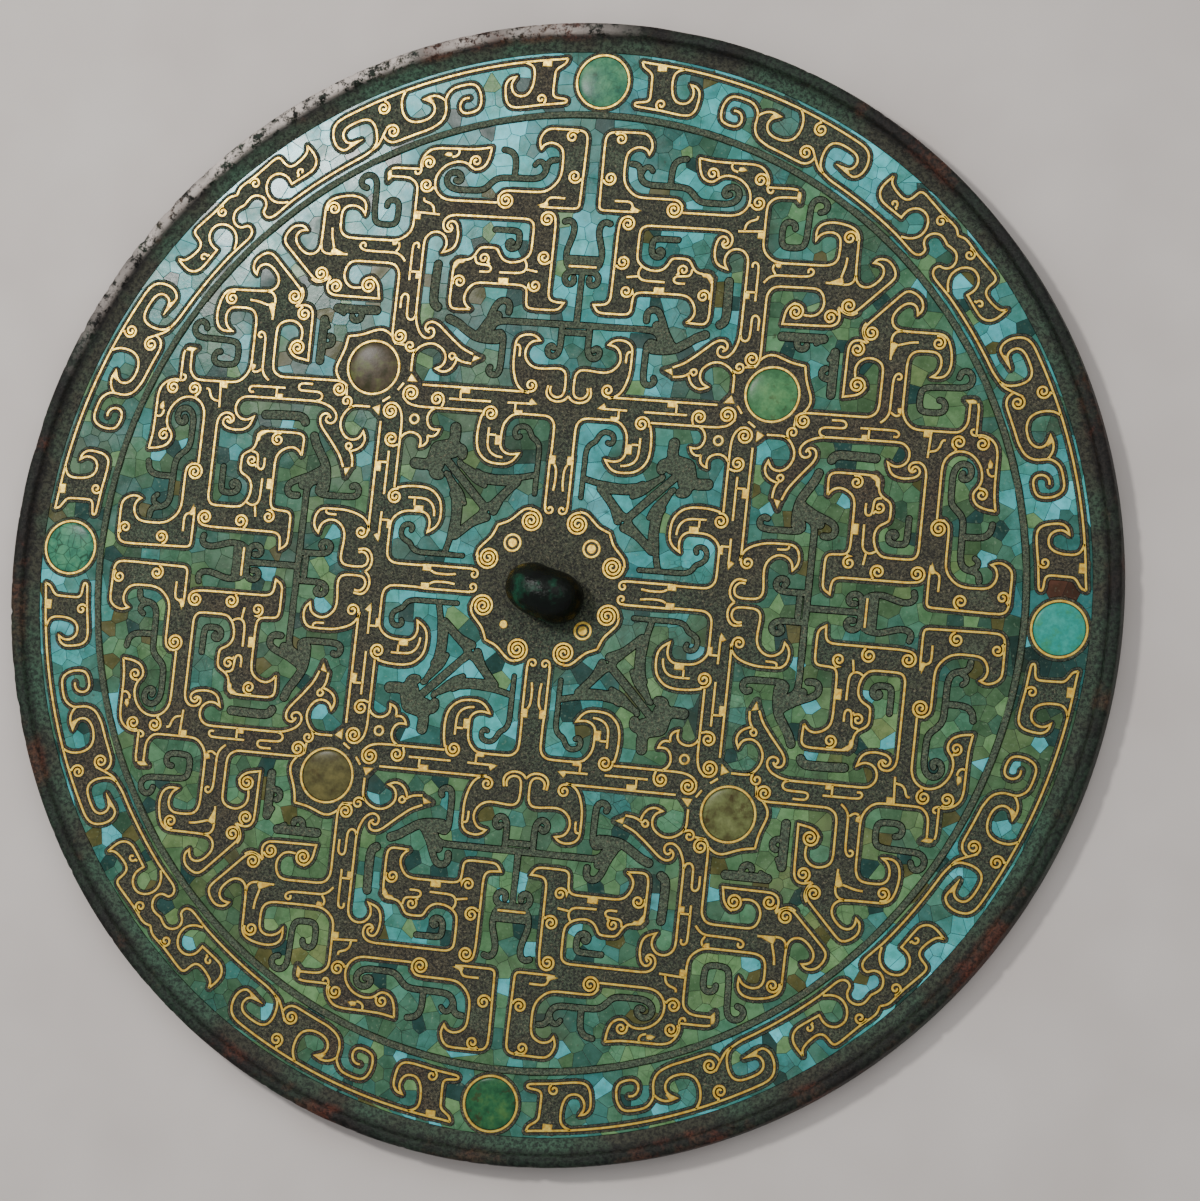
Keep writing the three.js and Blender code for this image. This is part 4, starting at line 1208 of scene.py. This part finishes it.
def gold_wires(name, lines, closed=False):
    """Half-round wires laid along lines: four points across, three faces a step."""
    w = WIRE_HALF
    across = [(-w, WIRE_FOOT), (-0.55 * w, WIRE_CROWN), (0.55 * w, WIRE_CROWN), (w, WIRE_FOOT)]
    verts, faces = strips(lines, across, closed)
    turn_outwards(mesh_piece(name, verts, faces, gold_finish, "bronze"))
    bpy.ops.object.shade_smooth_by_angle(angle=math.radians(50))


wires = [image for wire in sector_wires for image in sectors(thinned(wire, slack=0.02))]
gold_wires("band_wires", [w for w in wires if np.hypot(*w.T).mean() > BAND_STARTS])
gold_wires("field_wires", [w for w in wires if np.hypot(*w.T).mean() <= BAND_STARTS])

# a flat dark strip on both sides of each wire, just above the bronze: painted shadow of a groove
verts, faces = strips(wires, [(SHADOW_STRIP_HALF, FACE_TOP + 0.005), (-SHADOW_STRIP_HALF, FACE_TOP + 0.005)])
turn_upwards(mesh_piece("painted_wire_shadows", verts, faces, mastic, "bronze"))

small_rings = [circle(sx * SMALL_RING, sy * SMALL_RING, SMALL_RING_RADIUS, 20)
               for sx in (1, -1) for sy in (1, -1)]
small_rings += [circle(sx * KNOB_RING, sy * KNOB_RING, KNOB_RING_RADIUS, 28)
                for sx, sy in ((1, 1), (1, -1), (-1, 1))]
gold_wires("stone_rings", [circle(x, y, RING_RADIUS, 72) for x, y in socket_places], closed=True)
gold_wires("small_rings", small_rings, closed=True)

# arrow plates, square blocks, and the dots in the rings round the knob
plate_outlines = [image for outline in ARROW_PLATES + block_outlines for image in sectors(outline)]
plate_outlines += [circle(sx * KNOB_RING, sy * KNOB_RING, r, 20)
                   for sx, sy, r in ((1, 1, 0.95), (1, -1, 0.95), (-1, 1, 0.95), (-1, -1, 0.85))]
plate_points, plate_faces = [], []
for outline in plate_outlines:
    plate_faces.append([len(plate_points) + k for k in range(len(outline))])
    plate_points += [(x, y, FACE_TOP) for x, y in outline]
plates = mesh_piece("gold_plates", plate_points, plate_faces, gold_finish, "bronze")
turn_outwards(plates)
turn_upwards(plates)
bpy.ops.object.mode_set(mode="EDIT")
bpy.ops.mesh.select_all(action="SELECT")
bpy.ops.mesh.inset(use_even_offset=True, thickness=0.12 * MM, depth=0.12 * MM)
bpy.ops.object.mode_set(mode="OBJECT")

# ---------- the round stones ----------

# Place, finish, light, middle and dark shade, cracks, brown stain
STONES = {
    "top": (0, 100, "green_turquoise", (98, 150, 112), (76, 132, 100), (56, 106, 86), 0.25, 0.3),
    "right": (100, 0, "bright_turquoise", (62, 160, 146), (48, 148, 136), (62, 142, 102), 0.0, 0.0),
    "bottom": (0, -100, "moss_green", (72, 112, 64), (46, 96, 62), (32, 74, 50), 0.0, 0.5),
    "left": (-100, 0, "crackled_turquoise", (88, 148, 112), (66, 128, 100), (52, 104, 86), 0.8, 0.0),
    "upper_right": (40.5, 40.5, "leaf_green", (98, 144, 94), (80, 130, 86), (64, 108, 72), 0.0, 0.4),
    "lower_right": (40.5, -40.5, "olive_stone", (118, 124, 80), (102, 108, 66), (80, 78, 48), 0.0, 0.6),
    "lower_left": (-40.5, -40.5, "umber_stone", (106, 100, 60), (88, 84, 52), (66, 60, 40), 0.0, 0.3),
    "upper_left": (-40.5, 40.5, "dusky_stone", (94, 98, 60), (82, 72, 58), (60, 58, 40), 0.0, 0.2),
}
for where, (x, y, *finish) in STONES.items():
    bpy.ops.object.select_all(action="DESELECT")
    bpy.ops.mesh.primitive_uv_sphere_add(segments=64, ring_count=24, radius=STONE_RADIUS * MM,
                                         location=(x * MM, y * MM, STONE_MIDDLE * MM),
                                         scale=(1, 1, STONE_FLATNESS))
    stone = named(bpy.context.object, "stone_" + where + "_polished")
    bpy.ops.object.transform_apply(location=True, rotation=True, scale=True)
    bpy.ops.object.shade_smooth()
    finish_piece(stone, round_stone(*finish), "roundel_stone", "stone_" + where)

# ---------- the knob ----------

bpy.ops.object.select_all(action="DESELECT")
bpy.ops.mesh.primitive_uv_sphere_add(segments=64, ring_count=40, radius=1.0,
                                     location=(0, 0, KNOB_MIDDLE * MM),
                                     scale=[half * MM for half in KNOB_HALF])
knob = named(bpy.context.object, "loop_knob")
bpy.ops.object.transform_apply(location=True, rotation=True, scale=True)
bpy.ops.object.mode_set(mode="EDIT")
bpy.ops.mesh.select_all(action="SELECT")
bpy.ops.mesh.bisect(plane_co=(0, 0, KNOB_FOOT * MM), plane_no=(0, 0, 1), clear_inner=True, use_fill=True)
bpy.ops.object.mode_set(mode="OBJECT")
for v in knob.data.vertices:
    # a little boxier than an egg, and uneven as cast
    v.co.xy = [math.copysign(abs(c / (half * MM)) ** 0.88 * half * MM, c)
               for c, half in zip(v.co.xy, KNOB_HALF)]
    v.co += v.co.normalized() * ripple.noise(v.co * 130 + Vector((2, 7, 1))) * 0.5 * MM

bpy.ops.object.select_all(action="DESELECT")
bpy.ops.mesh.primitive_cylinder_add(vertices=48, radius=1.0, depth=0.03, location=(0, 0, HOLE_MIDDLE * MM),
                                    rotation=(math.pi / 2, 0, 0),
                                    scale=(HOLE_HALF[0] * MM, HOLE_HALF[1] * MM, 1))
borer = bpy.context.object
bpy.ops.object.transform_apply(location=True, rotation=True, scale=True)
alone(knob)
cut = knob.modifiers.new("cord_hole", "BOOLEAN")
cut.operation, cut.object, cut.solver = "DIFFERENCE", borer, "EXACT"
bpy.ops.object.modifier_apply(modifier="cord_hole")
bpy.data.objects.remove(borer)
knob.data.transform(Matrix.Translation(KNOB_SHIFT) @ Matrix.Rotation(KNOB_TURN, 4, "Z"))
bpy.ops.object.shade_smooth_by_angle(angle=math.radians(40))
finish_piece(knob, knob_finish, "bronze")

# ---------- floor, light and camera ----------

bpy.ops.object.select_all(action="DESELECT")
bpy.ops.mesh.primitive_plane_add(size=6, location=(0, 0, 0))
floor = named(bpy.context.object, "floor")
pale = Finish("pale_floor").set(Metallic=0.0, Roughness=0.8)
pale.use(Base_Color=pale.ramp(pale.noise(40, 2, 0.5), (0.3, srgb(199, 190, 185)), (0.7, srgb(208, 200, 195))))
floor.data.materials.append(pale.material)
floor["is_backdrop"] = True

world = bpy.data.worlds.new("studio")
bpy.context.scene.world = world
world.use_nodes = True
sky = world.node_tree.nodes["Background"]
sky.inputs["Color"].default_value = (0.86, 0.88, 0.9, 1)
sky.inputs["Strength"].default_value = 0.6


def lamp(name, place, size, power, colour):
    """A round soft light that points at the middle of the mirror."""
    light = bpy.data.lights.new(name, "AREA")
    light.shape, light.size, light.energy, light.color = "DISK", size, power, colour
    thing = added(name, light)
    thing.location = place
    thing.rotation_euler = (-Vector(place)).to_track_quat("-Z", "Y").to_euler()


lamp("key_light", (-0.31, 0.22, 0.6), 0.1, 2.8, (1, 0.99, 0.96))
lamp("fill_light", (1.0, 1.3, 2.0), 2.4, 18, (1, 1, 0.98))

eye = bpy.data.cameras.new("camera")
eye.sensor_width, eye.lens = 36, 117.229
camera = added("camera", eye)
camera.location = (0.2128227, -0.0702955, 0.7274848)
camera.rotation_euler = tuple(math.radians(a) for a in (6.89684, 14.93609, 6.41688))
bpy.context.scene.camera = camera

low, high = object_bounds()
